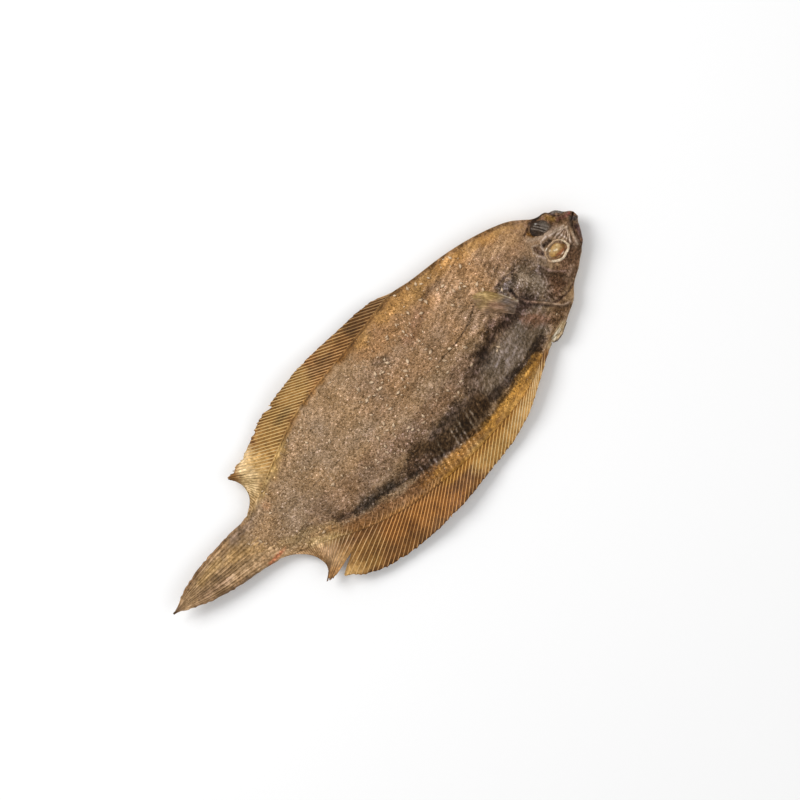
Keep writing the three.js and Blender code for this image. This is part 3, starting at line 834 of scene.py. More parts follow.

# %% [markdown]
# ## Colours along the fish
# The skin is not one brown. It is grey over the gills and the gut, black along the belly furrow, golden at
# the fin bases and pale on the string-like folds of the snout. A painted picture could hold that, but a
# list of stains keeps it readable: each has a path, a half width, a colour and a strength, and its edge is
# broken up by lumps. The result is stored on the points as an attribute that the materials read.
# A few entries are painted light rather than the skin's own colour: shade in the flank furrow, in the gill
# slits, behind the gill cover's edge and under the lower eye, and highlights on the eyes and the small
# fins.

# %% From hex to light
TONE_POWERS = np.array([0.9, 1, 1.26])  # red changes least with the tone, blue most
STAIN_EDGE = [(0.5, 4.5), (0.35, 1.6), (0.35, 0.7)]  # height and size of the lumps on a stain's edge


def linear(hex_colour):
    """An sRGB hex colour as linear red, green and blue."""
    share = np.array([int(hex_colour[i : i + 2], 16) for i in (1, 3, 5)]) / 255
    return np.where(share <= 0.04045, share / 12.92, ((share + 0.055) / 1.055) ** 2.4)


def toned(colour, tone):
    """Lighter tones turn pale and darker ones deep, as on real skin, rather than keep their hue."""
    return colour * np.maximum(tone, 0.05)[..., None] ** TONE_POWERS


def stained(s, t, ground, stains, seed=60):
    """Colours of points: the ground colour with each entry laid over it in turn, stains and, in some lists,
    painted shade and highlights.
    """
    colour = np.broadcast_to(linear(ground), (*np.shape(s), 3)).copy()
    ragged = layered(s, t, [(*lump, seed + i) for i, lump in enumerate(STAIN_EDGE)])
    for path, width, hex_colour, strength, *soft in stains:
        blur = soft[0] if soft else 1
        distance = distance_to(path, s, t) / width + 0.45 * blur * ragged
        weight = strength * (1 - ease(distance, 1 - 0.65 * blur, 1 + 0.3 * blur))
        colour = blend(colour, linear(hex_colour), weight[..., None])
    return colour


def store(mesh, name, values):
    """Stores one number or one colour for each point of a mesh."""
    values = np.asarray(values, float)
    if values.ndim == 1:
        mesh.attributes.new(name, "FLOAT", "POINT").data.foreach_set("value", values)
        return
    opaque = np.concatenate([values, np.ones((len(values), 1))], 1)
    mesh.attributes.new(name, "FLOAT_COLOR", "POINT").data.foreach_set("color", opaque.ravel())


print("white is", linear("#ffffff"), "and mid brown", linear("#97795b").round(3))

# %% Stains of the fins, with painted highlights on the chest and throat fins
FIN_GROUND = "#835c30"
FIN_STAINS_AND_HIGHLIGHTS = [  # path, half width, colour, strength and, where it is not 1, softness of the edge
    ([[50, 9], [56, 13], [64, 20]], 6, "#b09060", 0.9),
    ([[56, 15], [61, 23], [64, 28]], 4, "#c8aa79", 0.85),
    ([[54, 6], [58, 9], [66, 12.6], [77, 17.2]], 4.4, "#957949", 0.7, 1.6),
    ([[66, 20], [84, 28], [98, 32]], 6, "#c0995b", 0.85),
    ([[81, 25.5], [87, 26]], 1.8, "#6b5430", 0.6),
    ([[104, 30], [112, 30.5]], 3, "#684a28", 0.7),
    ([[112, 34], [126, 35.5]], 2.6, "#a87f48", 0.6),
    ([[126, 32], [140, 32], [150, 31]], 3, "#5f4424", 0.75),
    ([[48, -13], [56, -19], [66, -26]], 6, "#9d7b54", 0.9),
    ([[56, -27], [62, -30]], 3, "#a07d53", 0.7),
    ([[58, -17.6], [64, -21], [70, -24.4]], 2.4, "#c4a26c", 0.85, 1.4),
    ([[60, -36], [70, -39]], 3.6, "#b08a50", 0.8),
    ([[66, -27], [80, -32.4], [92, -36]], 3.4, "#775431", 0.7, 1.4),
    ([[70, -22.6], [80, -26.6], [92, -30.2], [104, -33]], 3, "#765230", 0.8, 1.4),
    ([[66, -32], [76, -35]], 5, "#a17a44", 0.75, 1.4),
    ([[85, -36], [96, -39], [110, -42]], 6.5, "#9a672f", 0.85),
    ([[112, -40], [124, -41]], 3.2, "#75502b", 0.7),
    ([[128, -40], [150, -40], [165, -36]], 6, "#e3b872", 0.9),
    ([[112, -36.6], [128, -37], [146, -36], [162, -32.6]], 2.2, "#b9863c", 0.85),
    ([[146, -39.5], [158, -36], [170, -32]], 3, "#e4be80", 0.75, 1.5),
    ([[150, 31.5], [172, 29], [190, 25]], 2.6, "#5f4224", 0.85),
    ([[8, -1], [46, -3]], 14, "#9a7b56", 1),
    ([[1.5, 0]], 3.6, "#5a412b", 0.85, 1.4),
    ([[8, 3.2], [20, 5.6], [34, 7]], 1.1, "#6d4d2b", 0.75),
    ([[8, -4], [20, -8], [34, -11.4]], 1, "#664a2e", 0.7),
    ([[16, 1.4], [27, 2.4]], 1.8, "#ab8853", 0.6),
    ([[12, -3], [24, -5]], 2, "#8a6c50", 0.6),
    ([[32, 0], [43, -4.5]], 4, "#a5804c", 0.75, 1.4),
    ([[37, 5], [47, 4.4]], 3, "#856f60", 0.6, 1.6),
    ([[40.5, -12], [47, -11.8], [52.6, -11]], 0.9, "#a8603c", 0.75, 1.4),
    ([[168, 10], [180, -5]], 11, "#8c6e51", 1),
    ([[168.6, 3.6], [173, 2.4]], 2.2, "#93784c", 0.7, 1.5),
    ([[172.4, 0.6], [174.6, -2]], 1.8, "#98745f", 0.65, 1.5),
    ([[178, -9.4], [173.6, -4.8], [169, -0.8]], 1.7, "#7b634f", 0.85, 1.5),
    ([[171.4, 8.6], [174.4, 5], [177, 1]], 2.8, "#a68a55", 0.8, 1.5),
    ([[176.8, -1.6], [178.2, -4.4], [179, -7.4]], 2.7, "#5b5047", 0.9, 1.6),
    # painted highlight along the chest fin's right edge
    ([[180.6, -5], [178.6, 0.2], [177.4, 2.6]], 0.9, "#bcac95", 0.85, 0.6),
    ([[179, -26.5], [188, -24]], 3.6, "#c3aa84", 1),
    ([[188.4, -22.2], [183.5, -22.9], [179.8, -25]], 1, "#79583a", 0.85),
    # painted highlight on the throat fin
    ([[180.6, -25.6], [184.6, -24.6]], 0.8, "#eee2cc", 0.85),
    ([[188.4, -25], [184.8, -26.8], [181.9, -27.4], [178.6, -27]], 0.55, "#33241a", 0.9),
]
print("stains on the fins:", len(FIN_STAINS_AND_HIGHLIGHTS))

# %% Lines of the tail and place of the small fins
TAIL_LINES = 26  # fine lines side by side on the closed tail, no two alike


def tail_lines(s, t):
    """Light and dark lines that run together towards the tail's tip."""
    share = (t - tail_belly(s)) / (tail_back(s) - tail_belly(s))
    lines = share * TAIL_LINES
    fine = lumps(lines, s * 0.05, 1, 93) + 0.6 * lumps(lines * 2.1, s * 0.09, 1, 94)
    return fine * (1 - ease(s + 5 * lumps(s, t, 4, 95), 30, 44))


def on_small_fin(s, t):
    """1 on the chest and throat fins, 0 on the long fins and the tail."""
    small = ease(s, 164, 168) * ease(inside_rim(s, t), 0.5, 3) + ease(s, 172, 177) * ease(-t, 20, 22)
    return np.minimum(small, 1)


print("tail lines at one place:", tail_lines(np.array([20.0]), np.array([0.0])).round(2))

# %% Colours of the fins
CORNER = [56, 70]  # the fins' rear corners are paler than the rest, and their rays darker than the skin
RAY_PART = {"corner": np.array([0.46, 0.42, 0.34]), "ahead": np.array([2.15, 2.45, 3.2]), "even": 1.18}
SKIN_PART = {"corner": np.array([1.27, 1.3, 1.39]), "ahead": np.array([0.55, 0.46, 0.33]), "even": 0.86}
FIN_MOTTLE = [(0.35, 6, 91), (0.3, 1.8, 92)]
BLIND_FIN = "#b79a6e"
EDGE_SHADE = 0.6  # how much darker a fin's outer edge is


def fin_colour(s, t):
    colour = stained(s, t, FIN_GROUND, FIN_STAINS_AND_HIGHLIGHTS, 90)
    speckled = np.maximum(on_small_fin(s, t), 1 - ease(s, 66, 78))
    speckle = 0.55 * lumps(s, t, 0.5, 73) * speckled + 0.42 * tail_lines(s, t)
    return toned(colour, np.exp(layered(s, t, FIN_MOTTLE) + speckle))


def fin_part(s, t, part):
    """Red, green and blue of a ray, or of the skin beside it, against their mean."""
    on_long_fin = blend(part["corner"], part["ahead"], ease(s, *CORNER)[:, None])
    even = np.maximum(on_small_fin(s, t), 1 - ease(s, 40, 47))
    return blend(on_long_fin, part["even"], even[:, None])


def side_of_fin(name, colour):
    """The small fins of the blind side are paler."""
    blind = SMALL_FINS.get(name, {"face": 1})["face"] < 0
    return blend(colour, linear(BLIND_FIN), 0.75) if blind else colour


for fin_name, fin_mesh in fin_meshes.items():
    fin_s, fin_t, _ = fish_points(fin_mesh)
    dark_edge = 1 - EDGE_SHADE * edge_shares.get(fin_name, 0 * fin_s)
    between_rays = side_of_fin(fin_name, fin_colour(fin_s, fin_t)) * fin_part(fin_s, fin_t, SKIN_PART)
    store(fin_mesh, "skin_colour", toned(between_rays, dark_edge))
print("colours stored on", len(fin_meshes), "fins")

# %% Stains of the back
SKIN_GROUND = "#997c5d"
BACK_BAND = [[126, 26.5], [146, 28.5], [172, 24.8], [190, 20.8], [203, 14.4]]
BACK_EDGE = [[140, 30.2], [146, 30.8], [156, 29.1], [172, 27.2], [184, 24.7], [196, 20.7], [204, 15.8]]
BACK_STAINS = [
    ([[46, -2], [92, 2]], 20, "#9a7d5e", 0.8),
    ([[70, -13], [104, -13]], 8, "#866950", 0.7),
    ([[120, 8], [170, 8]], 13, "#9b7858", 0.6),
    ([[128, 22], [150, 22], [176, 18], [192, 14]], 8.5, "#9b744d", 0.8),
    (BACK_BAND, 4.2, "#a77b43", 0.8),
    (BACK_EDGE, 1.3, "#5a3d23", 0.75),
    ([[154, 21.3], [164, 20.6]], 1.7, "#5a432f", 0.75, 1.5),
    ([[124, 16], [128, 14]], 2, "#5f4a37", 0.55),
    ([[133, 24.6]], 3.6, "#946d4b", 0.6),
    ([[146, 24.5], [156, 23.5]], 2.6, "#a67d45", 0.5),
    ([[160, 16], [172, 21]], 3.4, "#a07a54", 0.4),
    ([[162, 14], [182, 12.5]], 7.5, "#b89068", 0.8, 1.5),
    ([[140, 13], [150, 17]], 3, "#8f6953", 0.4),
]
print("stains on the back:", len(BACK_STAINS))

# %% Stains of the gill, the gut and the belly, with painted shade along the flank furrow
GOLD_BAND = [[112, -34], [125, -34.6], [140, -33.6], [157, -30.8], [170, -28]]
BELLY_STAINS_AND_SHADE = [
    ([[184, 12], [200, 9]], 8.5, "#8e6e51", 0.85),
    ([[184, 16], [196, 13]], 2.6, "#a7835a", 0.5),
    ([[195, 5], [199.6, 8]], 3, "#997c60", 0.6, 1.4),
    ([[187, -2], [193, -6]], 10, "#594839", 0.92),
    ([[178.5, 2.2], [184, 1.6]], 2.2, "#5c5047", 0.8, 1.3),
    ([[182.6, -5], [184, -9], [187.6, -13.6]], 1.7, "#3b2d23", 0.75),
    ([[195, -2.5], [196, -8], [197.4, -12]], 1.5, "#4a392c", 0.7, 1.5),
    ([[188.6, 0], [190.8, -7.6]], 3.3, "#847360", 0.78, 1.6),
    ([[191.5, -12.4], [197, -12]], 2.9, "#473729", 0.72, 1.3),
    ([[197, -11], [206, -9], [211, -7]], 5.5, "#563c28", 0.92),
    ([[200.5, -12], [205, -10.4]], 1.5, "#836a54", 0.5),
    ([[150, -19], [164, -17.4], [179, -14.6]], 8.8, "#68594a", 0.96, 0.6),
    ([[155, -17], [172, -15.8]], 3.2, "#6e6157", 0.3, 1.6),
    ([[144, -24.6], [156, -25.4], [166, -25.2], [177, -22.6]], 2.1, "#33251b", 0.85, 0.8),
    ([[110, -15], [126, -14], [142, -12], [150, -9]], 5.5, "#7b604a", 0.8),
    ([[110, -23.6], [124, -23.8], [141, -23.4]], 6.9, "#392713", 0.97, 0.7),
    ([[120, -19.6], [132, -19], [146, -18.6]], 2.6, "#4f3e30", 0.75, 1.4),
    # painted shade along the flank furrow, in this band and the next two
    ([[180, -6.6], [170, -7.2], [163, -8.2], [156, -10]], 4, "#4a3422", 0.85, 1.5),
    (FLANK_FURROW[:-1], 3.7, "#403023", 0.93, 1.4),
    (FLANK_FURROW[:-2], 1.7, "#33231a", 0.55, 1.5),
    ([[71, -17.6], [84, -21.2], [98, -23.4], [112, -24.8]], 3.6, "#563f2c", 0.8, 1.7),
    ([[80, -21], [95, -23]], 2.6, "#4a4237", 0.65, 1.8),
    ([[72, -24.6], [84, -27.4], [98, -29.8], [112, -31.6]], 3, "#7c5532", 0.85),
    (GOLD_BAND, 3.6, "#c18e42", 0.97, 0.6),
    ([[106, -32.6], [122, -33], [133, -32.4]], 2.8, "#9c6c36", 0.75, 1.4),
    ([[106, -33.6], [124, -35.2], [134, -35]], 1.6, "#7a5530", 0.5),
    (BELLY_FURROW, 0.9, "#2d2017", 0.6),
    ([[50, -11], [60, -15], [68, -19]], 3.2, "#a5865c", 0.8),
]
print("stains on the gill, the gut and the belly:", len(BELLY_STAINS_AND_SHADE))

# %% Stains of the throat and the lines of the skin, and painted shade in the slit
LINE_STAINS_AND_SLIT_SHADE = [
    ([[177.6, -13.4], [181, -15.2], [184.6, -19]], 2.8, "#835d47", 0.7, 1.4),
    ([[184.4, -19.2]], 1, "#9c7462", 0.6),
    ([[186, -20], [193, -19]], 3.4, "#6d4f33", 0.8),
    ([[195.5, -18.4], [199.5, -16.4]], 1.9, "#8f6f49", 0.7),
    # painted shade in the gill slit
    ([[181.2, -0.8], [180.9, -4.4]], 0.7, "#120c08", 0.95, 1.2),
    ([[182.2, -6], [183.2, -9]], 1.1, "#2b1e15", 0.75),
    ([[178.6, 0.5], [179.2, -3]], 1, "#5f5247", 0.7),
    ([[166.8, -4.4], [171.4, -5.4]], 2, "#876b5d", 0.55, 1.5),
    (GILL_SEAM, 0.55, "#3f2a20", 0.75),
    (NAPE_CREASE, 0.45, "#3d2d24", 0.8, 0.8),
    (SIDE_LINE[:5], 0.39, "#4d3a28", 0.78),
    (SIDE_LINE[4:], 0.35, "#6b543e", 0.45),
    (CHEEK_GROOVE, 0.9, "#43321f", 0.6),
    (CHEEK_BONE, 0.45, "#96796a", 0.7),
    ([[55, 5]], 2.2, "#a5764f", 0.5),
]
print("stains on the throat and the lines:", len(LINE_STAINS_AND_SLIT_SHADE))

# %% Stains of the snout, with painted shade under the lower eye
SNOUT_STAINS_AND_SHADE = [
    ([[206, 10.5], [214, 8], [219, 4]], 5.2, "#694c34", 0.9),
    ([[209.8, 11.2], [210.4, 8.4]], 1.1, "#785844", 0.75, 1.4),
    ([[211.2, 9.8], [212.4, 8.2]], 1.5, "#7d5c2b", 0.85),
    ([[214, 10], [215.6, 9.2], [216.8, 7.6]], 1.1, "#5e5852", 0.85),
    ([[213.9, 6.6], [216, 5.9], [218.6, 5.4]], 1, "#6a4338", 0.8),
    ([[216.8, 5.3]], 0.45, "#a5705f", 0.8),
    ([[218.5, 5.2]], 0.55, "#98463a", 0.85),
    ([[217.6, 3.2], [219, 2.2]], 1.4, "#383533", 0.85),
    ([[215, 2.2], [217, 0.2]], 1.5, "#5f4a3b", 0.75),
    ([[217.2, -0.8], [216, -3.4], [214.6, -5.6]], 1.3, "#462a27", 0.9),
    ([[214.9, -5.4]], 0.8, "#7a4c2a", 0.8),
    ([[207, 12.9], [211.8, 12.3], [213, 11], [213.7, 8.6], [215.2, 7.3]], 0.55, "#2f1d17", 0.85),
    (MOUTH_SLIT, 0.4, "#2a1b17", 0.7),
    ([[201.2, 10.6], [202, 8.4]], 1, "#6a4515", 0.9),
    ([[200, 11], [202.6, 12.2]], 0.6, "#3a2112", 0.85),
    ([[204.6, 12.8], [211, 12.4]], 0.8, "#33241b", 0.9),
    ([[208.5, 4.6], [212, 1], [212.6, -4]], 3, "#8a705a", 0.8),
    ([[199.4, 8.8], [203, 6.3], [207.4, 4.9]], 1.1, "#a0876f", 0.75),
    # painted shade under the lid ring of the lower eye
    ([[205.6, -5.9], [208.4, -5.5], [210.6, -4.2]], 0.5, "#38261a", 0.75),
    (UPPER_POCKET, 1.3, "#2a1b11", 0.9),
    (REAR_POCKET, 1.3, "#61493a", 0.85),
    ([[199.9, 1]], 0.7, "#1e130c", 0.8),
    (UPPER_POCKET_EDGE, 0.55, "#bba38c", 0.85),
    (REAR_POCKET_EDGE, 0.55, "#ae947d", 0.85),
    *((string, 0.45, "#baa38c", 0.75) for string in SNOUT_STRINGS),
    ([[203.4, -2], [207, -2.4]], 3, "#7d5a3c", 0.85),
]
SKIN_STAINS_AND_SHADE = BACK_STAINS + BELLY_STAINS_AND_SHADE + LINE_STAINS_AND_SLIT_SHADE + SNOUT_STAINS_AND_SHADE
print("stains on the snout:", len(SNOUT_STAINS_AND_SHADE), "and on the eyed side:", len(SKIN_STAINS_AND_SHADE))

# %% Edges and bones that show in colour, with painted shade behind the gill cover's edge
GILL_PALE, GILL_BROWN, GILL_SHADE = "#b89c80", "#94735c", "#25180f"
RIB_BREAK = [(1, 4, 83), (1, 1.1, 84)]


def rim_share(s, t):
    """1 outside the body's rim and on the tail, fading to 0 a few millimetres inside."""
    inside = np.minimum(back_rim(s) - t, t - belly_rim(s))
    fades = np.where(t > 0, 2.8, 4.2) + 3.6 * bell((s - 68) / 13)
    close = 1 - ease(inside + 1.3 * lumps(s, t, 2.6, 75), 0.35 * fades - 1.2, fades)
    ahead = np.where(t > 0, ease(s, 150, 166), ease(s, 166, 178))
    at_tail = 1 - ease(s + 3 * lumps(s, t, 3, 76), 32, 46)
    return np.maximum(close * (1 - ahead), at_tail)


def gill_edge_stain_and_shade(s, t, colour):
    """A pale line along the gill cover's free edge, and painted deep shade in the gap behind it."""
    radius, degrees = gill_place(s, t)
    past, free = radius - GILL["radius"], gill_free(degrees)
    pale = bell((past + 0.25) / 0.3) * free * ease(degrees, 206, 228) * (0.8 + 0.2 * lumps(s, t, 1.5, 79))
    shade = bell((past - 0.6) / 0.6) * free * (1 - 0.5 * ease(degrees, 222, 240))
    brown = bell((past + 0.2) / 0.4) * free * ease(degrees, 188, 200)
    layers = ((GILL_SHADE, 0.85, shade), (GILL_BROWN, 0.8, brown), (GILL_PALE, 0.9, pale))
    for hex_colour, strength, share in layers:
        colour = blend(colour, linear(hex_colour), strength * share[..., None])
    return colour


def rib_lines(s, t):
    """Above 0 on the pale lines where the belly fin's bones lift the dark skin, most at the top."""
    each = ease(uneven(np.floor(rib_count(s, t))), -0.45, 0.3)
    shown = bell((t + 27) / 4.2) * (1 - ease(s, 138, 150)) * ease(s, 104, 112)
    dashes = bell((t + 24.2) / 1) * ease(s, 122, 126) * (1 - ease(s, 134, 140))
    broken = ease(layered(s, t, RIB_BREAK), -1, 0.7)
    return ease(bone_ribs(s, t, 1), 0.45, 1) * each * broken * (0.36 * shown + 0.55 * dashes)


rim_station = np.array([90.0])
print("share of fin colour at the back rim:", float(rim_share(rim_station, back_rim(rim_station))[0]))

# %% Colours of the eyed side
GUT = [[151, -19], [166, -17], [179, -14]]
BACK_BASE = [
    [62, 12.6], [66, 14.2], [77, 18.9], [86, 22.2], [98, 24.6], [114, 26.3], [130, 28.3], [142, 30],
]
RIB_PALE = "#b39d83"
WARMER = np.array([0.05, 0, -0.1])  # how red, green and blue change from cool patches to warm ones
SKIN_MOTTLE = [(0.35, 6, 71), (0.3, 2.1, 72), (1.05, 0.5, 73)]


def calm_skin(s, t):
    """Above 0 where the skin is less mottled than on the flank."""
    radius, degrees = gill_place(s, t)
    at_gill_edge = bell((radius - GILL["radius"]) / 1.5) * gill_free(degrees)
    over_gut = 0.5 - 0.5 * ease(distance_to(GUT, s, t), 6, 9)
    on_back, on_head = ease(t, 17, 20) * ease(s, 130, 145), ease(s, 192, 200)
    return np.maximum.reduce([on_back, on_head, 1.4 * rim_share(s, t), over_gut, 1.7 * at_gill_edge])


def eyed_colour(s, t):
    colour = gill_edge_stain_and_shade(s, t, stained(s, t, SKIN_GROUND, SKIN_STAINS_AND_SHADE))
    colour = blend(colour, fin_colour(s, t), rim_share(s, t)[..., None])
    colour = blend(colour, linear(RIB_PALE), rib_lines(s, t)[..., None])
    base_line = 0.55 * bell(distance_to(BACK_BASE, s, t) / 0.32)
    warm = lumps(s, t, 6.5, 78)[..., None] * WARMER
    depth = blend(1.3, 0.45, ease(colour.mean(-1), 0.025, 0.2)) * (1 - 0.35 * calm_skin(s, t))
    mottle = depth * layered(s, t, SKIN_MOTTLE) - 0.1 * depth**2
    streak = 0.45 * slanting(s, t, 1, 74) * (0.3 + ease(s, 140, 165) - ease(s, 182, 194))
    in_gold = 0.3 * bell((t + 33.5) / 3) * (1 - ease(s, 128, 146))
    ribs = bone_ribs(s, t, 0.25 * bell(distance_to(BAND_RIBS, s, t) / BAND_RIB_WIDTH) + in_gold)
    lines = 0.5 * fibres(s, t) + 0.2 * plate_lines(s, t)
    return toned(colour * (1 + warm), np.exp(mottle + streak + ribs + lines) * (1 - base_line))


print("colour of the flank, linear:", eyed_colour(np.array([120.0]), np.array([0.0]))[0].round(3))

# %% Stains of the blind side, with painted shade in its gill slit
BLIND_GROUND = "#b89c74"
BLIND_MOTTLE = [(0.12, 9, 81), (0.12, 2.7, 82), (0.2, 0.6, 86)]
BLIND_STAINS_AND_SLIT_SHADE = [
    ([[50, -4], [100, -3]], 16, "#ae9069", 0.6),
    ([[120, 0], [165, 4]], 16, "#bda57f", 0.6),
    ([[128, 25], [160, 25], [190, 18]], 5, "#b0854e", 0.7),
    (GOLD_BAND, 4, "#b0824a", 0.8),
    ([[148, -20], [162, -19], [176, -18]], 7, "#95795c", 0.85),
    (FLANK_FURROW, 1.8, "#735539", 0.6),
    ([[188, -4], [196, -6]], 9, "#9c7d60", 0.8),
    ([[198, 8], [206, 12], [212, 8]], 5, "#94724f", 0.7),
    ([[208, 6], [219, 3], [214, -5]], 5, "#795840", 0.85),
    ([[180.4, -15.2]], 3.6, "#95654a", 0.6),
    # painted shade in the gill slit
    ([[181, -0.2], [181, -3.8]], 0.9, "#3d2c1d", 0.85),
    (GILL_SEAM, 0.8, "#6b4d35", 0.7),
    (CHEEK_GROOVE, 0.9, "#6b4d35", 0.6),
    (SIDE_LINE, 0.6, "#8a6d4b", 0.6),
    (MOUTH_SLIT, 0.6, "#3a251b", 0.7),
    ([[42, -3], [48, -3]], 5, "#a1815a", 0.6),
    ([[96, 14], [104, 10]], 5, "#a07c4c", 0.5),
    ([[132, -12], [142, -8]], 5, "#9f7f58", 0.5),
]


def blind_colour(s, t):
    colour = gill_edge_stain_and_shade(s, t, stained(s, t, BLIND_GROUND, BLIND_STAINS_AND_SLIT_SHADE, 80))
    return toned(colour, 1 + layered(s, t, BLIND_MOTTLE) + 0.09 * muscle_bands(s, t))


def skin_colour(s, t, face):
    return eyed_colour(s, t) if face > 0 else blind_colour(s, t)


print("stains on the blind side:", len(BLIND_STAINS_AND_SLIT_SHADE))

# %% Storing colours on the points
RIM_BLEND = (-0.4, 0.5)  # mm from the rim's height, where one side's colour passes into the other's


def two_sided_colour(mesh):
    """Skin colours for a mesh that shows both sides of the fish."""
    s, t, z = fish_points(mesh)
    top = ease(z - rim_height(s), *RIM_BLEND)[:, None]
    return blend(skin_colour(s, t, -1), skin_colour(s, t, 1), top)


store(body_mesh, "skin_colour", two_sided_colour(body_mesh))
for gill_face, gill_mesh in gill_meshes.items():
    store(gill_mesh, "skin_colour", skin_colour(*fish_points(gill_mesh)[:2], gill_face))
print("colours stored on", len(body_mesh.vertices), "points of the body")

# %% [markdown]
# ## Materials
# Dried fish skin is hard and a little waxy, like thick parchment: a rough sheen, no mirror. The fins are
# the same collagen without scales, thin and amber. Each material takes its main colour from the stored
# attribute, breaks it up with noise at a size in millimetres, and raises a fine grain as bump.

# %% One helper for nodes
def add(tree, kind, inputs=None, **settings):
    """Adds a node with its settings. An input is a value, or another node's output to link."""
    node = tree.nodes.new(kind)
    for name, value in settings.items():
        setattr(node, name, value)
    for socket, value in (inputs or {}).items():
        if isinstance(value, bpy.types.NodeSocket):
            tree.links.new(value, node.inputs[socket])
        else:
            node.inputs[socket].default_value = value
    return node


print("helper for nodes is ready")

# %% Dried collagen
COLLAGEN_IOR = 1.45
NOISE_LOW, NOISE_HIGH = 0.3, 0.7  # most of a noise's values lie between these
DARK_SKIN, LIGHT_SKIN = 0.02, 0.2  # linear light of the darkest and the palest skin
DARK_CONTRAST = 1.7  # grain shows more on dark skin, by this factor
SHEEN_SPREAD = 0.09  # how far roughness varies to both sides


def dried_material(name, grain_mm, contrast, rough, bump_mm, shine):
    """Dried collagen: stored colour, light and dark grain, uneven sheen and a fine bump."""
    material = bpy.data.materials.new(name)
    material.use_nodes = True
    tree = material.node_tree
    surface = tree.nodes["Principled BSDF"]
    surface.inputs["IOR"].default_value = COLLAGEN_IOR
    surface.inputs["Specular IOR Level"].default_value = shine
    place = add(tree, "ShaderNodeTexCoord").outputs["Object"]
    stored = add(tree, "ShaderNodeAttribute", attribute_name="skin_colour").outputs["Color"]
    scale = 1 / (grain_mm * MM)  # grains per metre
    grain = add(
        tree, "ShaderNodeTexNoise",
        {"Vector": place, "Scale": scale, "Detail": 4.0, "Roughness": 0.65},
    ).outputs["Fac"]
    blotch = add(
        tree, "ShaderNodeTexNoise", {"Vector": place, "Scale": scale / 5, "Detail": 3.0}
    ).outputs["Fac"]
    light = add(tree, "ShaderNodeRGBToBW", {"Color": stored}).outputs["Val"]
    signed, depth, sheen = (
        add(
            tree, "ShaderNodeMapRange",
            {"Value": value, "From Min": low, "From Max": high, "To Min": first, "To Max": last},
        ).outputs["Result"]
        for value, low, high, first, last in (
            (grain, NOISE_LOW, NOISE_HIGH, -1.0, 1.0),
            (light, DARK_SKIN, LIGHT_SKIN, DARK_CONTRAST * contrast, contrast),
            (blotch, NOISE_LOW, NOISE_HIGH, rough - SHEEN_SPREAD, rough + SHEEN_SPREAD),
        )
    )
    tone = add(tree, "ShaderNodeMath", {0: signed, 1: depth, 2: 1.0}, operation="MULTIPLY_ADD")
    grained = add(
        tree, "ShaderNodeVectorMath", {0: stored, "Scale": tone.outputs["Value"]}, operation="SCALE"
    )
    bump = add(tree, "ShaderNodeBump", {"Height": grain, "Strength": 0.6, "Distance": bump_mm * MM})
    tree.links.new(grained.outputs["Vector"], surface.inputs["Base Color"])
    tree.links.new(sheen, surface.inputs["Roughness"])
    tree.links.new(bump.outputs["Normal"], surface.inputs["Normal"])
    return material


print("a material for dried collagen is ready")

# %% Skin, scales, membrane and rays
# Real grit is finer than any grain size here or below. It is drawn as coarse as it needs to show.
fish_skin = dried_material("dried fish skin", 0.6, 0.46, 0.6, 0.2, 0.13)  # dull and grainy, like parchment
fish_scale = dried_material("dried fish scale", 0.35, 0.62, 0.6, 0.05, 0.16)  # chalky, light and dark
fin_membrane = dried_material("dried fin membrane", 0.9, 0.32, 0.5, 0.1, 0.2)  # amber and a little waxy
fin_ray = dried_material("dried fin ray", 0.8, 0.2, 0.42, 0.05, 0.28)  # bone, smoother than skin
print("materials:", [material.name for material in bpy.data.materials])

# %% [markdown]
# ## Putting a piece in the scene
# Every piece becomes an object at the origin, with its place in its mesh. A flat map from above is stored
# with it for baking: faces that look up take one half, faces that look down the other. The piece then rides
# on the fish's only body.

# %% Objects, maps and riding
BAKE_MARGIN = 0.01


def lay_flat_map(mesh):
    """A map from above, with the upper and the lower faces side by side."""
    points = np.empty(len(mesh.vertices) * 3, np.float32)
    mesh.vertices.foreach_get("co", points)
    points = points.reshape(-1, 3)[:, :2]
    size = points.max(0) - points.min(0)
    share = (points - points.min(0)) / np.maximum(size, 1e-9)
    corners, starts = np.empty(len(mesh.loops), int), np.empty(len(mesh.polygons), int)
    totals, normals = np.empty(len(mesh.polygons), int), np.empty(len(mesh.polygons) * 3, np.float32)
    mesh.loops.foreach_get("vertex_index", corners)
    mesh.polygons.foreach_get("loop_start", starts)
    mesh.polygons.foreach_get("loop_total", totals)
    mesh.polygons.foreach_get("normal", normals)
    upper = np.repeat(normals.reshape(-1, 3)[:, 2] >= 0, totals)
    flat = BAKE_MARGIN + share[corners] * (1 - 2 * BAKE_MARGIN)
    flat[:, 1] = flat[:, 1] / 2 + 0.5 * upper
    mesh.uv_layers.new(name="OFBake").uv.foreach_set("vector", flat.astype(np.float32).ravel())


def put(mesh, material=None):
    """Links a finished mesh as a piece that rides on the fish."""
    if material:
        mesh.materials.clear()
        mesh.materials.append(material)
    lay_flat_map(mesh)
    piece = bpy.data.objects.new(mesh.name, mesh)
    bpy.context.scene.collection.objects.link(piece)
    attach(piece, "root")
    return piece


body = put(body_mesh, fish_skin)
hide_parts("dried_dab")
for gill_mesh in gill_meshes.values():
    put(gill_mesh, fish_skin)
for fin_mesh in fin_meshes.values():
    put(fin_mesh, fin_membrane)
print("pieces so far:", len(gill_meshes) + len(fin_meshes) + 1)

# %% [markdown]
# ## Running a node tree
# Rays, scales and flecks repeat hundreds of times, so Geometry Nodes make them. A tree gets named inputs,
# which are set by their identifiers before the object is first evaluated. The result is then turned into a
# plain mesh, because instances would be lost in the export.

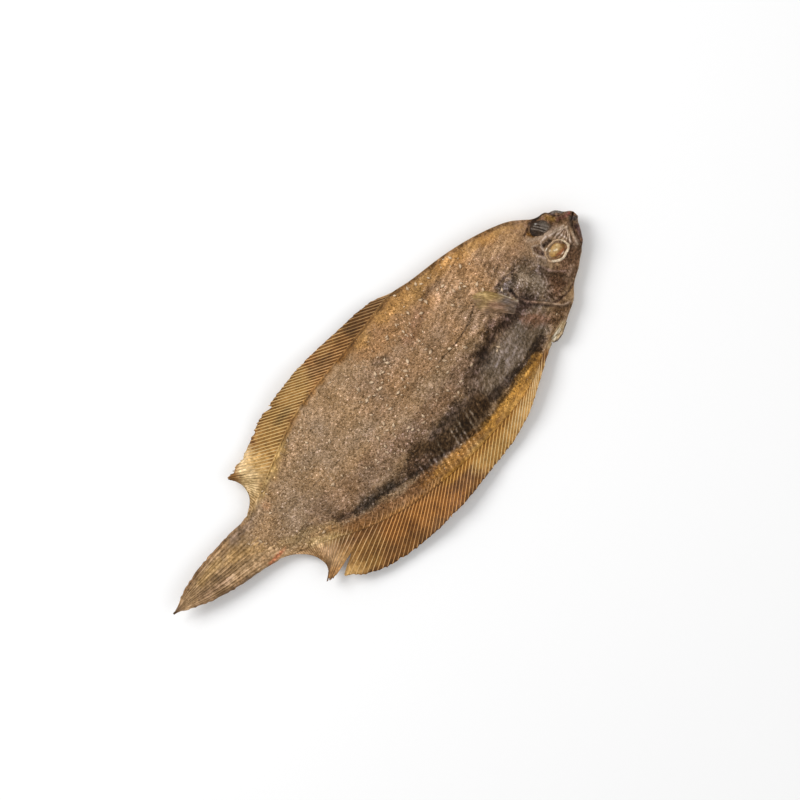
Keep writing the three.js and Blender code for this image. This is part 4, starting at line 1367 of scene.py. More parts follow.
# %% Beginning and ending a tree
def new_tree(name, inputs):
    """A geometry tree with a mesh in, a mesh out and named inputs. Returns it with its input sockets."""
    tree = bpy.data.node_groups.new(name, "GeometryNodeTree")
    tree.interface.new_socket("Geometry", in_out="INPUT", socket_type="NodeSocketGeometry")
    tree.interface.new_socket("Geometry", in_out="OUTPUT", socket_type="NodeSocketGeometry")
    for socket, kind in inputs.items():
        tree.interface.new_socket(socket, in_out="INPUT", socket_type=kind)
    return tree, tree.nodes.new("NodeGroupInput").outputs


def end_tree(tree, geometry, material):
    """Every tree ends in real geometry with its material."""
    real = add(tree, "GeometryNodeRealizeInstances", {"Geometry": geometry})
    smooth = add(tree, "GeometryNodeSetShadeSmooth", {"Geometry": real.outputs["Geometry"]})
    faces = smooth.outputs["Geometry"]
    coated = add(tree, "GeometryNodeSetMaterial", {"Geometry": faces, "Material": material})
    add(tree, "NodeGroupOutput", {"Geometry": coated.outputs["Geometry"]})


print("helpers for node trees are ready")

# %% Running a tree
def grown(name, seats, tree, **values):
    """Runs a tree on a mesh of seats and returns what it made as a plain mesh."""
    holder = bpy.data.objects.new(name + "_seats", seats)
    modifier = holder.modifiers.new("grow", "NODES")
    modifier.node_group = tree
    for socket in tree.interface.items_tree:
        if socket.in_out == "INPUT" and socket.name in values:
            modifier[socket.identifier] = values[socket.name]
    bpy.context.scene.collection.objects.link(holder)
    graph = bpy.context.evaluated_depsgraph_get()
    made = bpy.data.meshes.new_from_object(
        holder.evaluated_get(graph), preserve_all_data_layers=True, depsgraph=graph
    )
    made.name = name
    holder.modifiers.remove(modifier)
    bpy.data.objects.remove(holder)
    return made


print("runner of node trees is ready")

# %% [markdown]
# ## Fin rays
# Each ray is a thin bone, thick at the rim and fine at its tip, that shows on both faces of the fin and
# stands a little past its torn edge. The paths come from the same functions as the skin between them. The
# tree turns each path into a curve and sweeps a small circle along it, sized by a stored radius.

# %% Tree for rays
ray_tree, ray_in = new_tree(
    "rays along paths",
    {"Sides": "NodeSocketInt", "Thickness": "NodeSocketFloat", "Material": "NodeSocketMaterial"},
)
radius_stored = add(ray_tree, "GeometryNodeInputNamedAttribute", {"Name": "ray_radius"}, data_type="FLOAT")
radius_scaled = add(
    ray_tree, "ShaderNodeMath",
    {0: radius_stored.outputs["Attribute"], 1: ray_in["Thickness"]}, operation="MULTIPLY",
)
ray_curve = add(ray_tree, "GeometryNodeMeshToCurve", {"Mesh": ray_in["Geometry"]})
ray_profile = add(
    ray_tree, "GeometryNodeCurvePrimitiveCircle", {"Resolution": ray_in["Sides"], "Radius": 1.0}
)
ray_tubes = add(
    ray_tree, "GeometryNodeCurveToMesh",
    {
        "Curve": ray_curve.outputs["Curve"], "Profile Curve": ray_profile.outputs["Curve"],
        "Scale": radius_scaled.outputs["Value"], "Fill Caps": True,
    },
)
end_tree(ray_tree, ray_tubes.outputs["Mesh"], ray_in["Material"])
print("nodes in the ray tree:", len(ray_tree.nodes))

# %% Lines with a radius and a colour
RAY_STEPS = 14
RAY_RADIUS = [0.28, 0.17]  # at the rim and at the tip
BRIGHTEST = 0.66  # no ray reflects more than this share of any colour

taper = np.linspace(*RAY_RADIUS, RAY_STEPS)


def ray_seats(name, paths, radii):
    """A mesh of separate lines, with a radius and a colour on each point."""
    paths = np.asarray(paths)
    count, length = paths.shape[:2]
    index = np.arange(count * length).reshape(count, length)
    lines = np.stack([index[:, :-1], index[:, 1:]], -1).reshape(-1, 2)
    mesh = bpy.data.meshes.new(name + "_paths")
    mesh.from_pydata(in_frame(paths.reshape(-1, 3)), lines.tolist(), [])
    s, t, _ = fish_points(mesh)
    store(mesh, "ray_radius", np.broadcast_to(radii, (count, length)).ravel() * MM)
    each = np.repeat(1 + 0.4 * uneven(np.arange(count)), length)
    colour = toned(side_of_fin(name, fin_colour(s, t)) * fin_part(s, t, RAY_PART), each)
    store(mesh, "skin_colour", colour * np.minimum(1, BRIGHTEST / colour.max(-1, keepdims=True)))
    return mesh


print("radii along a ray in mm:", taper.round(2))

# %% Paths of the long fins' rays
CORNER_RAYS = 0.58  # share of the full ray radius on the rear corners
RAY_TIP = 0.99  # share of its full length that a ray has, a little past the torn skin
ROOT_REACH = [[55, 1.8], [64, 3], [74, 4.8], [90, 5.4], [104, 4], [112, 1.5]]  # length on the skin
ROOT_SLANT = 33  # degrees at the rear rays' inner ends
ROOT_RADIUS, ROOT_LIFT = [0.19, 0.09], 0.08


def rays_on_rim(fin):
    """The number of each ray of a long fin, and its station on the rim."""
    station, passed = rays_passed(fin)
    number = np.arange(1, int(passed[-1]))[:, None]
    return number, np.interp(number, passed, station)


def long_fin_paths(fin):
    number, s = rays_on_rim(fin)
    share = np.linspace(-0.4, RAY_TIP, RAY_STEPS)[None, :]
    length = ray_length(fin, s, number)
    radii = fin["ray"] * taper * blend(CORNER_RAYS, 1, ease(s, *CORNER))
    return fin_point(fin, s + 0 * share, length, share + 0 * s, 0 * share), radii


def root_paths(fin):
    """The inner ends of a fin's rear rays, which show through the eyed side's skin."""
    number, s = rays_on_rim(fin)
    kept = ((s > ROOT_REACH[0][0]) & (s < ROOT_REACH[-1][0])).ravel()
    number, s = number[kept], s[kept]
    share = np.linspace(0, 1, RAY_STEPS)[None, :]
    out = curve_through(ROOT_REACH)(s) * (1 + 0.5 * uneven(number)) * share
    slant = np.radians(blend(curve_through(fin["rows"], 1)(s), ROOT_SLANT, share))
    along = s + out * np.cos(slant)
    t = fin["rim"](s) - fin["side"] * (FIN_INSET / 2 + out * np.sin(slant))
    return np.stack([along, t, eyed_skin(along, t) + ROOT_LIFT], -1)


print("rays that show on the skin:", len(root_paths(FINS["belly_fin"])))

# %% Paths of the tail's and the small fins' rays
TAIL_STEPS, TAIL_RADIUS = 26, [0.26, 0.1]
TAIL_RAY_START, TAIL_RAY_END = 39, 1.5  # where the tail's rays leave the skin and where they end
SMALL_RAY = 0.7  # share of the full ray radius on the small fins


def tail_paths(face):
    number = np.arange(TAIL_RAYS)[:, None] + 0.5
    start = TAIL_RAY_START + 8 * uneven(number)
    s = blend(start, TAIL_RAY_END, np.linspace(0, 1, TAIL_STEPS)[None, :])
    share = number / TAIL_RAYS - ray_stray(s, number / TAIL_RAYS)
    return tail_point(s, share, face, -0.1 - 0.5 * ease(s, start - 9, start))


def small_fin_paths(fin):
    along = np.linspace(0.02, 0.98, RAY_STEPS)
    place, share = np.meshgrid(np.linspace(0, 1, fin["rays"]), along, indexing="ij")
    return small_fin_point(fin, place, share, -0.05)


print("points on the tail's rays:", tail_paths(1)[..., 0].size)

# %% Growing the rays
ray_paths = {name: long_fin_paths(fin) for name, fin in FINS.items()}
tail_taper = np.linspace(*TAIL_RADIUS, TAIL_STEPS)
ray_paths["tail_fin_eyed"] = (tail_paths(1), tail_taper)
ray_paths["tail_fin_blind"] = (tail_paths(-1), tail_taper)
ray_paths["belly_fin_root"] = (root_paths(FINS["belly_fin"]), np.linspace(*ROOT_RADIUS, RAY_STEPS))
for small_name, small in SMALL_FINS.items():
    ray_paths[small_name] = (small_fin_paths(small), taper * SMALL_RAY)
for fin_name, (paths, radii) in ray_paths.items():
    seats = ray_seats(fin_name, paths, radii)
    put(grown(fin_name + "_rays", seats, ray_tree, Sides=6, Thickness=1.0, Material=fin_ray))
print("rays:", {name: len(paths) for name, (paths, _) in ray_paths.items()})

# %% [markdown]
# ## Scales
# A dab is rough to the touch: its scales are about a millimetre long, sit in slanting rows and have their
# free edge towards the tail. A bump texture would look flat from the side, so each scale is a small closed
# plate. Seats on a six-sided lattice carry the skin's colour, a direction and a size, and the tree sets one
# tilted plate on each.

# %% One scale
SCALE_OUTLINE = [(0.55, 0), (-0.12, 0.52), (-0.66, 0), (-0.12, -0.52)]  # its free edge is to the left
SCALE_DOME, SCALE_BELLY = 0.2, -0.06  # heights of its top and of its underside


def chip(name, outline, top, bottom):
    """A small closed plate: a flat outline with one point over it and one under it, in millimetres."""
    count = len(outline)
    points = [*((x, y, 0) for x, y in outline), top, bottom]
    around = [(i, (i + 1) % count) for i in range(count)]
    faces = [(a, b, count) for a, b in around] + [(b, a, count + 1) for a, b in around]
    mesh = bpy.data.meshes.new(name)
    mesh.from_pydata(np.array(points) * MM, [], faces)
    return bpy.data.objects.new(name, mesh)


scale_pattern = chip("one_scale", SCALE_OUTLINE, (-0.1, 0, SCALE_DOME), (0, 0, SCALE_BELLY))
print("faces of one scale:", len(scale_pattern.data.polygons))

# %% Setting a pattern on points
def set_on_points(tree, points, pattern, facing, lean, size, material):
    """Ends a tree that sets a pattern on points, turned to their facing and then leaned."""
    leaning = add(tree, "FunctionNodeEulerToRotation", {"Euler": lean})
    turned = add(
        tree, "FunctionNodeRotateRotation",
        {"Rotation": facing, "Rotate By": leaning.outputs["Rotation"]}, rotation_space="LOCAL",
    )
    shape = add(tree, "GeometryNodeObjectInfo", {"Object": pattern})
    placed = add(
        tree, "GeometryNodeInstanceOnPoints",
        {
            "Points": points, "Instance": shape.outputs["Geometry"],
            "Rotation": turned.outputs["Rotation"], "Scale": size,
        },
    )
    end_tree(tree, placed.outputs["Instances"], material)


print("helper for patterns is ready")

# %% Tree for scales
scale_tree, scale_in = new_tree(
    "scales on seats",
    {
        "Scale": "NodeSocketObject", "Tilt": "NodeSocketFloat", "Wobble": "NodeSocketFloat",
        "Seed": "NodeSocketInt", "Material": "NodeSocketMaterial",
    },
)
seat_normal, seat_size = (
    add(scale_tree, "GeometryNodeInputNamedAttribute", {"Name": name}, data_type=kind)
    for name, kind in (("seat_normal", "FLOAT_VECTOR"), ("seat_size", "FLOAT"))
)
upright = add(
    scale_tree, "FunctionNodeAxesToRotation",
    {"Primary Axis": seat_normal.outputs["Attribute"], "Secondary Axis": (1, 0, 0)},
    primary_axis="Z", secondary_axis="X",
)
wobble_low = add(scale_tree, "ShaderNodeMath", {0: scale_in["Wobble"], 1: -1.0}, operation="MULTIPLY")
wobble = add(
    scale_tree, "FunctionNodeRandomValue",
    {"Min": wobble_low.outputs["Value"], "Max": scale_in["Wobble"], "Seed": scale_in["Seed"]},
    data_type="FLOAT_VECTOR",
)
tilt = add(scale_tree, "ShaderNodeCombineXYZ", {"Y": scale_in["Tilt"]})
lean = add(
    scale_tree, "ShaderNodeVectorMath",
    {0: tilt.outputs["Vector"], 1: wobble.outputs["Value"]}, operation="ADD",
)
set_on_points(
    scale_tree, scale_in["Geometry"], scale_in["Scale"], upright.outputs["Rotation"],
    lean.outputs["Vector"], seat_size.outputs["Attribute"], scale_in["Material"],
)
print("nodes in the scale tree:", len(scale_tree.nodes))

# %% Skin with and without scales
SMOOTH_PATHS = [  # path and half width of the skin that has lost its scales
    (FLANK_FURROW, 2.4), (GUT, 7), ([[116, -25], [134, -25], [149, -23]], 6),
    ([[64, -20], [78, -26.3], [90, -30.1], [105, -32.8]], 2.3),
]


def over_gill(s, t, face):
    """Height of the gill cover where it stands over the skin, else of the skin."""
    radius, degrees = gill_place(s, t)
    covered = (radius < GILL["radius"]) & (degrees > GILL["from"]) & (degrees < GILL["to"])
    lift = gill_lift(s, t, GILL_FLARE * (1 if face > 0 else BLIND_SHARE))
    return np.maximum(SCALE_ROOM, skin(s, t, face) + face * np.where(covered, np.maximum(lift, 0), 0))


def smooth_skin(s, t):
    """1 where the skin has no scales left, 0 elsewhere."""
    bare = 0 * s
    for path, width in SMOOTH_PATHS:
        bare = np.maximum(bare, 1 - ease(distance_to(path, s, t) / width, 0.7, 1.2))
    return bare


print("stretches with no scales:", len(SMOOTH_PATHS))

# %% Where scales sit
SCALE_PITCH = [0.7, 0.64]  # along the fish and across it
SCALE_STRAY = 0.26  # how far a scale strays from its place in the lattice
SCALE_START, SCALE_END = 31, 204
SCALE_ROWS = [-58, 51]  # rows of the lattice across the fish
SLOPE_STEP = 0.3


def scale_places(face, chance):
    """Places of the scales that are left on one side, on an uneven lattice."""
    step_s, step_t = SCALE_PITCH
    columns = np.arange(0, (SCALE_END - SCALE_START) / step_s)
    row, column = np.meshgrid(np.arange(*SCALE_ROWS), columns, indexing="ij")
    stray_s, stray_t = (chance.uniform(-SCALE_STRAY, SCALE_STRAY, row.shape) for _ in range(2))
    s = (SCALE_START + step_s * (column + 0.5 * (row % 2)) + stray_s).ravel()
    t = (step_t * row + stray_t).ravel()
    radius, degrees = gill_place(s, t)
    in_slit = (np.abs(radius - GILL["radius"] - 0.5) < 1.4) & (gill_free(degrees) > 0.3)
    near_eye = (eye_place(UPPER_EYE, s, t) < 1.5) | (eye_place(LOWER_EYE, s, t) < 1.6)
    lost = chance.random(s.shape) < 0.03 + 0.2 * (lumps(s, t, 5, 101) > 0.55)
    kept = (inside_rim(s, t) > 0.25) & (s < SCALE_END) & ~in_slit & ~near_eye & ~lost
    kept &= chance.random(s.shape) > (smooth_skin(s, t) if face > 0 else 0)
    return s[kept], t[kept]


def scale_normals(s, t, face):
    """Directions square to the skin, from its slope to both sides of each place."""
    ahead, behind = over_gill(s + SLOPE_STEP, t, face), over_gill(s - SLOPE_STEP, t, face)
    above, below = over_gill(s, t + SLOPE_STEP, face), over_gill(s, t - SLOPE_STEP, face)
    slope_s, slope_t = (ahead - behind) / (2 * SLOPE_STEP), (above - below) / (2 * SLOPE_STEP)
    normal = face * np.stack([-slope_s, -slope_t, np.ones_like(s)], -1)
    return normal / np.linalg.norm(normal, axis=1, keepdims=True)


print("rows in the lattice of scales:", SCALE_ROWS[1] - SCALE_ROWS[0])

# %% Sizes and colours of the scales
SCALE_TILT, SCALE_WOBBLE = 0.16, 0.22  # radians
SCALE_SINK = 0.06
SCALE_HEAD = [176, 196]  # over this stretch of stations they get smaller
SCALE_TINTS = ["#8d8479", "#a67c46", "#6f5138"]  # greyer, more golden and darker scales among the rest
CREAM = "#c9ae90"  # and a few pale ones
SCALE_SEED = 100


def scale_sizes(s, t, chance):
    """Smaller on the head, towards the rims and on the tail."""
    size = (0.95 - 0.3 * ease(s, *SCALE_HEAD)) * chance.uniform(0.7, 1.25, len(s))
    return size * blend(0.55, 1, ease(inside_rim(s, t), 0.3, 5)) * blend(0.35, 1, ease(s, 31, 52))


def scale_colours(s, t, face, chance):
    """The skin's colour, with uneven tone and tint."""
    cream = 0.45 * (chance.random(len(s)) > 0.97 - 0.04 * lumps(s, t, 7, 102)) * (1 - ease(s, *SCALE_HEAD))
    tone = np.exp(chance.normal(0, 0.28, len(s)))
    tints = np.array([linear(tint) for tint in SCALE_TINTS])[chance.integers(0, len(SCALE_TINTS), len(s))]
    colour = blend(skin_colour(s, t, face), tints, chance.uniform(0, 0.1, (len(s), 1)) * (1 + face) / 2)
    pale = cream * ease(colour.mean(-1), 0.06, 0.16)
    return blend(toned(colour, tone), linear(CREAM), pale[:, None])


def scale_seats(name, face):
    chance = np.random.default_rng(SCALE_SEED + face)
    s, t = scale_places(face, chance)
    mesh = bpy.data.meshes.new(name + "_seats")
    mesh.from_pydata(in_frame(np.stack([s, t, over_gill(s, t, face) - face * SCALE_SINK], -1)), [], [])
    normals = mesh.attributes.new("seat_normal", "FLOAT_VECTOR", "POINT")
    normals.data.foreach_set("vector", scale_normals(s, t, face).ravel())
    store(mesh, "seat_size", scale_sizes(s, t, chance))
    store(mesh, "skin_colour", scale_colours(s, t, face, chance))
    return mesh


for side_name, face in (("scales_eyed", 1), ("scales_blind", -1)):
    scales = grown(
        side_name, scale_seats(side_name, face), scale_tree,
        Scale=scale_pattern, Tilt=SCALE_TILT, Wobble=SCALE_WOBBLE, Seed=5, Material=fish_scale,
    )
    put(scales)
    print(side_name, triangle_count(scales), "triangles")

# %% [markdown]
# ## Eyes
# The upper eye has collapsed into a dark, wet-looking button with a few folds. The lower one has kept a
# gold glassy dome inside a pale ring of lid. Both are squashed balls with their own relief, and the ring is
# a loop of small circles whose size varies round it.

# %% Domes of the eyes
EYE_RINGS, EYE_POINTS = 40, 56
EYE_RISE, EYE_DEPTH = 0.9, 1.4  # how far an eye stands over the skin, and half of its height
EYE_POLE = 0.02  # radians left open at its poles, which are capped
LOWER_DOME = {**LOWER_EYE, "t": -1.7, "along": 4.2, "across": 2.9}  # smaller than the ring round it


def round_turn(count):
    return np.linspace(0, 2 * np.pi, count, endpoint=False)


def eye_dome(name, eye, relief):
    """A squashed ball sunk in the head. relief gives its folds for places from -1 to 1 along and across."""
    polar = np.linspace(EYE_POLE, np.pi - EYE_POLE, EYE_RINGS)
    drop, turn = np.meshgrid(polar, round_turn(EYE_POINTS), indexing="ij")
    along, aside = np.sin(drop) * np.cos(turn), np.sin(drop) * np.sin(turn)
    reach = 1 + 0.1 * lumps(np.cos(turn) * 1.7, np.sin(turn) * 1.7, 1, 114)
    s, t = on_eye(eye, along * reach, aside * reach)
    middle = float(eyed_skin(eye["s"], eye["t"])) + EYE_RISE - EYE_DEPTH
    slope = plain_skin(s, t) - plain_skin(eye["s"], eye["t"])
    z = middle + slope + EYE_DEPTH * np.cos(drop) + relief(along, aside) * np.maximum(0, np.cos(drop))
    return piece_over(name, np.stack([s, t, z], -1))


def upper_folds(along, aside):
    bend = 0.5 * along + aside + 0.2 * along**2
    return 0.2 * np.sin(bend * 15) * (1 - along**2) + 0.2 * lumps(along * 4, aside * 4, 1, 111)


def lower_folds(along, aside):
    return 0.3 * lumps(along * 2.5, aside * 2.5, 1, 112) - 0.35 * bell((aside + 0.6) / 0.16)


upper_eye_mesh = eye_dome("upper_eye", UPPER_EYE, upper_folds)
lower_eye_mesh = eye_dome("lower_eye", LOWER_DOME, lower_folds)
print("domes:", [triangle_count(mesh) for mesh in (upper_eye_mesh, lower_eye_mesh)], "triangles")

# %% The pale lid
LID_SIZE, LID_RISE = 0.42, 0.25
LID_RINGS, LID_POINTS = 120, 14


def lid_ring(name, eye):
    """A fold of lid round an eye, uneven in its run and its thickness."""
    turn, lap = round_turn(LID_RINGS)[:, None], round_turn(LID_POINTS)[None, :]
    cos, sin = np.cos(turn), np.sin(turn)
    wobble = 1.06 + 0.02 * np.cos(5 * turn + 0.6) + 0.07 * lumps(cos * 2.2, sin * 2.2, 1, 113)
    swollen = 0.5 * lumps(cos * 4 + 0 * lap, sin * 4 + lap, 1, 114)
    thick = LID_SIZE * (1 + 0.32 * np.cos(turn - 5.2) + swollen)
    middle_s, middle_t = on_eye(eye, wobble * cos, wobble * sin)
    s = middle_s + thick * np.cos(lap) * cos
    t = middle_t + thick * np.cos(lap) * sin
    z = eyed_skin(middle_s, middle_t) + LID_RISE + thick * 1.1 * np.sin(lap)
    return piece_over(name, np.stack([s, t, z], -1), looped=True)


lid_mesh = lid_ring("lower_eye_lid", LOWER_EYE)
print("lid:", triangle_count(lid_mesh), "triangles")

# %% Stains of the eyes, with painted highlights and shade
UPPER_EYE_STAINS_AND_PAINTED_LIGHT = [
    ([[208.6, 9], [208.4, 6.8]], 1.8, "#5d5349", 0.85, 1.4),
    ([[203.4, 6.8], [206.4, 5.2], [209.4, 6], [210.4, 8]], 1.1, "#63503f", 0.75, 1.6),
    # the three light lines are painted highlights on the folds, and the dark line after them is painted
    # shade in a fold
    ([[203.8, 11], [205.3, 8.9], [206.6, 6.4]], 0.4, "#776b60", 0.7),
    ([[205.1, 11.2], [206.4, 9.2], [207.7, 6.8]], 0.34, "#7b7168", 0.75),
    ([[206.8, 10.8], [208, 8.8], [209, 7]], 0.3, "#6d635b", 0.7),
    ([[204.6, 10.6], [205.8, 8.8], [207, 6.8]], 0.3, "#1d1510", 0.7),
    ([[202.4, 11.4], [203, 8]], 0.7, "#211710", 0.8),
    ([[206, 5.4], [209.4, 5.6]], 0.7, "#6f5e4f", 0.7),
    # painted highlight
    ([[206.2, 11.3]], 0.45, "#b9b1a8", 0.7),
]
LOWER_EYE_STAINS_AND_HIGHLIGHTS = [
    ([[203, -0.8], [206.4, -1]], 1.2, "#bd9c68", 0.8),
    ([[201.6, -2.2], [203.4, -2.8]], 0.9, "#9a7438", 0.7),
    # the next two are painted highlights on the dome
    ([[204, -1.1], [205, -1.5]], 0.45, "#ead9b6", 0.85),
    ([[202.7, 0.1]], 0.6, "#e2d2b4", 0.8),
    ([[203.6, -3.4], [207.4, -3.5]], 0.8, "#93532f", 0.85),
    ([[208.2, -1.2], [207.8, -2.4]], 0.9, "#6f4a1c", 0.85),
    ([[205.4, -2.7], [206.6, -2.1]], 0.5, "#8a6030", 0.75),
    ([[202.3, -1.5]], 0.6, "#8f6a38", 0.7),
    ([[206.4, -0.3]], 0.5, "#d8bf90", 0.7),
    ([[205.2, -4.5], [207.6, -4.2]], 0.5, "#e3d3bd", 0.85),
]
LID_STAINS_AND_HIGHLIGHT = [
    ([[201.4, -3.8], [204.4, -5.3], [207.6, -4.8]], 1.3, "#dac7ac", 0.85),
    ([[209.5, -2.8], [209.4, 0]], 1.2, "#d6c2a4", 0.85),
    # painted highlight on the top of the lid
    ([[202, 1.3]], 0.9, "#e6dcc8", 0.8),
    ([[200, -0.6]], 1.2, "#a98f70", 0.7),
    ([[205, 1.8], [207.6, 1.5]], 0.9, "#b89c7d", 0.8),
]
print("stains on the eyes:", len(UPPER_EYE_STAINS_AND_PAINTED_LIGHT) + len(LOWER_EYE_STAINS_AND_HIGHLIGHTS) + len(LID_STAINS_AND_HIGHLIGHT))

# %% Finishes of the eyes
CORNEA_COAT, CORNEA_COAT_ROUGH = 0.08, 0.2
dried_cornea = dried_material("dried cornea", 0.7, 0.32, 0.42, 0.12, 0.3)  # as under thin varnish
cornea_surface = dried_cornea.node_tree.nodes["Principled BSDF"]
cornea_surface.inputs["Coat Weight"].default_value = CORNEA_COAT
cornea_surface.inputs["Coat Roughness"].default_value = CORNEA_COAT_ROUGH

for eye_mesh, ground, stains, finish in (
    (upper_eye_mesh, "#35281d", UPPER_EYE_STAINS_AND_PAINTED_LIGHT, fish_skin),
    (lower_eye_mesh, "#ab8650", LOWER_EYE_STAINS_AND_HIGHLIGHTS, dried_cornea),
    (lid_mesh, "#a98c6f", LID_STAINS_AND_HIGHLIGHT, fish_skin),
):
    store(eye_mesh, "skin_colour", stained(*fish_points(eye_mesh)[:2], ground, stains))
    put(eye_mesh, finish)
    print(eye_mesh.name, "is set")

# %% [markdown]
# ## Flecks
# Loose scales and bits of dried slime show as pale flecks, most of them on the middle of the back. They
# follow no lattice, so the tree throws points on the body's faces, thicker where a stored density is
# high, and sets a small chip of random size and turn on each.

# %% Where flecks lie
fleck_s, fleck_t, fleck_z = fish_points(body_mesh)
on_top = ease(fleck_z - rim_height(fleck_s), 0.8, 1.4) * (1 - ease(fleck_s, 186, 198))
clusters = ease(lumps(fleck_s, fleck_t, 11, 121) + 0.6 * lumps(fleck_s, fleck_t, 4, 122), -0.5, 1)
middle_back = 0.5 + 1.4 * bell((fleck_s - 138) / 36) * bell((fleck_t - 6) / 13)
middle_back = middle_back - 0.2 * ease(fleck_t, 18, 22)
light_skin = ease(eyed_colour(fleck_s, fleck_t).mean(-1), 0.06, 0.16)
fleck_chance = on_top * clusters * middle_back * light_skin
store(body_mesh, "fleck_density", fleck_chance)
print("points of the body that can carry flecks:", int((fleck_chance > 0).sum()))

# %% One fleck
FLECK_CORNERS = 7
FLECK_HALF = 0.5  # mean reach of a corner in millimetres, before the fleck is scaled
fleck_turns = round_turn(FLECK_CORNERS)
fleck_reach = FLECK_HALF * (1 + np.random.default_rng(130).uniform(-0.5, 0.5, FLECK_CORNERS))
fleck_outline = np.stack(
    [fleck_reach * np.cos(fleck_turns) * 1.3, fleck_reach * np.sin(fleck_turns) * 0.9], -1
)
fleck_pattern = chip("one_fleck", fleck_outline, (0.05, 0, 0.03), (0, 0, -0.2))
print("faces of one fleck:", len(fleck_pattern.data.polygons))

# %% Points for the flecks
fleck_tree, fleck_in = new_tree(
    "flecks thrown on skin",
    {
        "Fleck": "NodeSocketObject", "Density": "NodeSocketFloat", "Smallest": "NodeSocketFloat",
        "Largest": "NodeSocketFloat", "Lift": "NodeSocketFloat", "Seed": "NodeSocketInt",
        "Material": "NodeSocketMaterial",
    },
)
fleck_stored = add(
    fleck_tree, "GeometryNodeInputNamedAttribute", {"Name": "fleck_density"}, data_type="FLOAT"
)
fleck_density = add(
    fleck_tree, "ShaderNodeMath",
    {0: fleck_stored.outputs["Attribute"], 1: fleck_in["Density"]}, operation="MULTIPLY",
)
fleck_points = add(
    fleck_tree, "GeometryNodeDistributePointsOnFaces",
    {"Mesh": fleck_in["Geometry"], "Density": fleck_density.outputs["Value"], "Seed": fleck_in["Seed"]},
)
print("nodes that throw points:", len(fleck_tree.nodes))

# %% Turn, size and height of the flecks
FLECK_LEAN = 0.2  # radians
FLECK_SMALLER = 1.6  # a power above 1 makes more small flecks than large ones
fleck_turn = add(
    fleck_tree, "FunctionNodeRandomValue",
    {
        "Min": (-FLECK_LEAN, -FLECK_LEAN, 0.0), "Max": (FLECK_LEAN, FLECK_LEAN, 6.283),
        "Seed": fleck_in["Seed"],
    },
    data_type="FLOAT_VECTOR",
)
fleck_even = add(fleck_tree, "FunctionNodeRandomValue", {"Seed": fleck_in["Seed"]}, data_type="FLOAT")
fleck_small = add(
    fleck_tree, "ShaderNodeMath", {0: fleck_even.outputs[1], 1: FLECK_SMALLER}, operation="POWER"
)
fleck_size = add(
    fleck_tree, "ShaderNodeMapRange",
    {"Value": fleck_small.outputs["Value"], "To Min": fleck_in["Smallest"], "To Max": fleck_in["Largest"]},
)
fleck_raise = add(
    fleck_tree, "ShaderNodeVectorMath",
    {0: fleck_points.outputs["Normal"], "Scale": fleck_in["Lift"]}, operation="SCALE",
)
fleck_raised = add(
    fleck_tree, "GeometryNodeSetPosition",
    {"Geometry": fleck_points.outputs["Points"], "Offset": fleck_raise.outputs["Vector"]},
)
set_on_points(
    fleck_tree, fleck_raised.outputs["Geometry"], fleck_in["Fleck"], fleck_points.outputs["Rotation"],
    fleck_turn.outputs["Value"], fleck_size.outputs["Result"], fleck_in["Material"],
)
print("nodes in the fleck tree:", len(fleck_tree.nodes))

# %% Throwing the flecks
FLECKS_PER_MM2 = 0.1
FLECK_LIFT = 0.36
FLECK_PALE = "#e4c8a6"
dried_slime = dried_material("dried slime fleck", 0.5, 0.2, 0.75, 0.05, 0.12)  # chalky, with no shine
flecks = grown(
    "pale_flecks", body_mesh.copy(), fleck_tree, Fleck=fleck_pattern, Density=FLECKS_PER_MM2 / MM**2,
    Smallest=0.7, Largest=1.8, Lift=FLECK_LIFT * MM, Seed=7, Material=dried_slime,
)
for old in [layer.name for layer in flecks.attributes if layer.name in ("skin_colour", "fleck_density")]:
    flecks.attributes.remove(flecks.attributes[old])
fleck_s, fleck_t, _ = fish_points(flecks)
fleck_pale = 0.65 + 0.3 * lumps(fleck_s, fleck_t, 2.3, 123)[:, None]
store(flecks, "skin_colour", blend(eyed_colour(fleck_s, fleck_t), linear(FLECK_PALE), fleck_pale))
body_mesh.attributes.remove(body_mesh.attributes["fleck_density"])
put(flecks)
print("flecks:", triangle_count(flecks) // (2 * FLECK_CORNERS))

# %% [markdown]
# ## Floor, light and camera
# The fish lies on a plain pale floor in soft studio light: a large lamp over the back fin's side, a weaker
# one opposite and an even sky. The camera looks straight down, turned so that the snout points to the upper
# right of the picture.

# %% Floor and light
FLOOR_SIZE = 3.0


def flat_material(name, hex_colour, rough):
    material = bpy.data.materials.new(name)
    material.use_nodes = True
    surface = material.node_tree.nodes["Principled BSDF"]
    surface.inputs["Base Color"].default_value = (*linear(hex_colour), 1)
    surface.inputs["Roughness"].default_value = rough
    return material


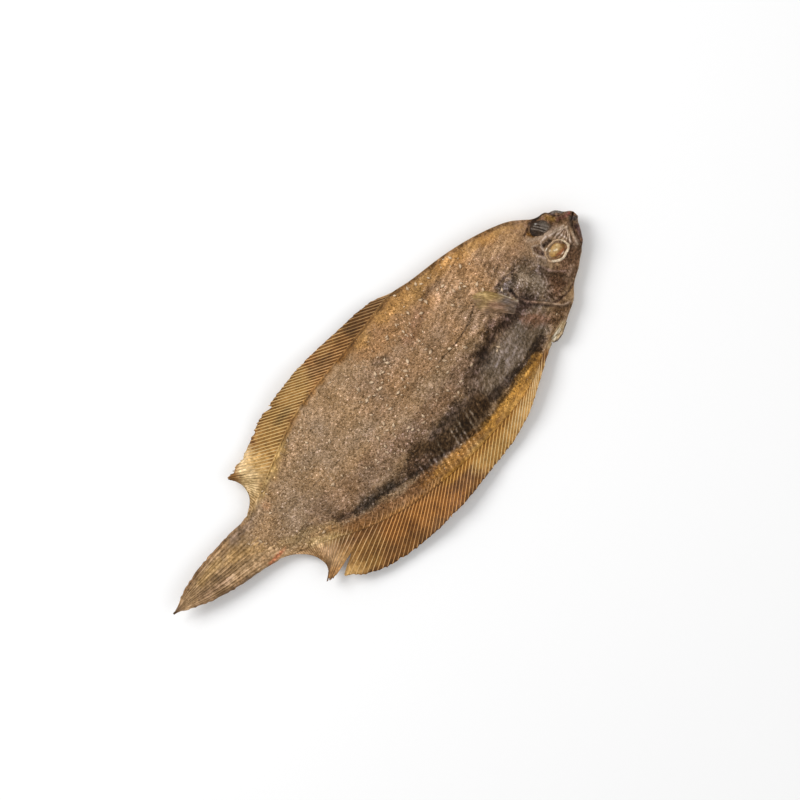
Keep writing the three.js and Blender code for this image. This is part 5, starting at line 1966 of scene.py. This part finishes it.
floor_mesh = bpy.data.meshes.new("floor")
half = FLOOR_SIZE / 2
corners = [(-half, -half, 0), (half, -half, 0), (half, half, 0), (-half, half, 0)]
floor_mesh.from_pydata(corners, [], [(0, 1, 2, 3)])
floor_mesh.materials.append(flat_material("pale paper", "#f4f4f4", 0.9))  # matt, so it shows soft shadows
floor = bpy.data.objects.new("floor", floor_mesh)
bpy.context.scene.collection.objects.link(floor)


def lamp(name, place, size, watts):
    """A square soft lamp that faces the fish."""
    light = bpy.data.lights.new(name, "AREA")
    light.shape, light.size, light.energy = "SQUARE", size, watts
    holder = bpy.data.objects.new(name, light)
    holder.location = place
    aim = -np.array(place) / np.linalg.norm(place)
    holder.rotation_euler = (np.arccos(-aim[2]), 0, np.arctan2(-aim[0], aim[1]))
    bpy.context.scene.collection.objects.link(holder)


lamp("key lamp", (-0.25, 0.75, 0.8), 0.6, 9)
lamp("fill lamp", (0.5, -0.7, 0.9), 0.9, 3)
sky = bpy.data.worlds.new("even sky")
sky.use_nodes = True
sky.node_tree.nodes["Background"].inputs["Color"].default_value = (1, 1, 1, 1)
sky.node_tree.nodes["Background"].inputs["Strength"].default_value = 0.55
bpy.context.scene.world = sky
bpy.context.scene.view_settings.view_transform = "Standard"
print("lamps and floor are set")

# %% Camera
VIEW_MIDDLE = [121, -1.3, 6]  # the fish point at the middle of the picture
VIEW_WIDTH = 311.3  # mm of the fish's plane across the picture
FISH_ANGLE = 44  # the fish's line from tail to snout rises this many degrees in the picture
LENS, SENSOR = 100, 36

view = bpy.data.cameras.new("camera")
view.lens, view.sensor_width = LENS, SENSOR
camera = bpy.data.objects.new("camera", view)
distance = VIEW_WIDTH * LENS / SENSOR
camera.location = in_frame(VIEW_MIDDLE) + np.array([0, 0, distance * MM])
camera.rotation_euler = (0, 0, np.radians(-FISH_ANGLE))
bpy.context.scene.collection.objects.link(camera)
bpy.context.scene.camera = camera
print("camera height in mm:", round(distance))

# %% [markdown]
# ## Finish
# The view layer is brought up to date once more at the end.

# %% Finish
bpy.context.view_layer.update()
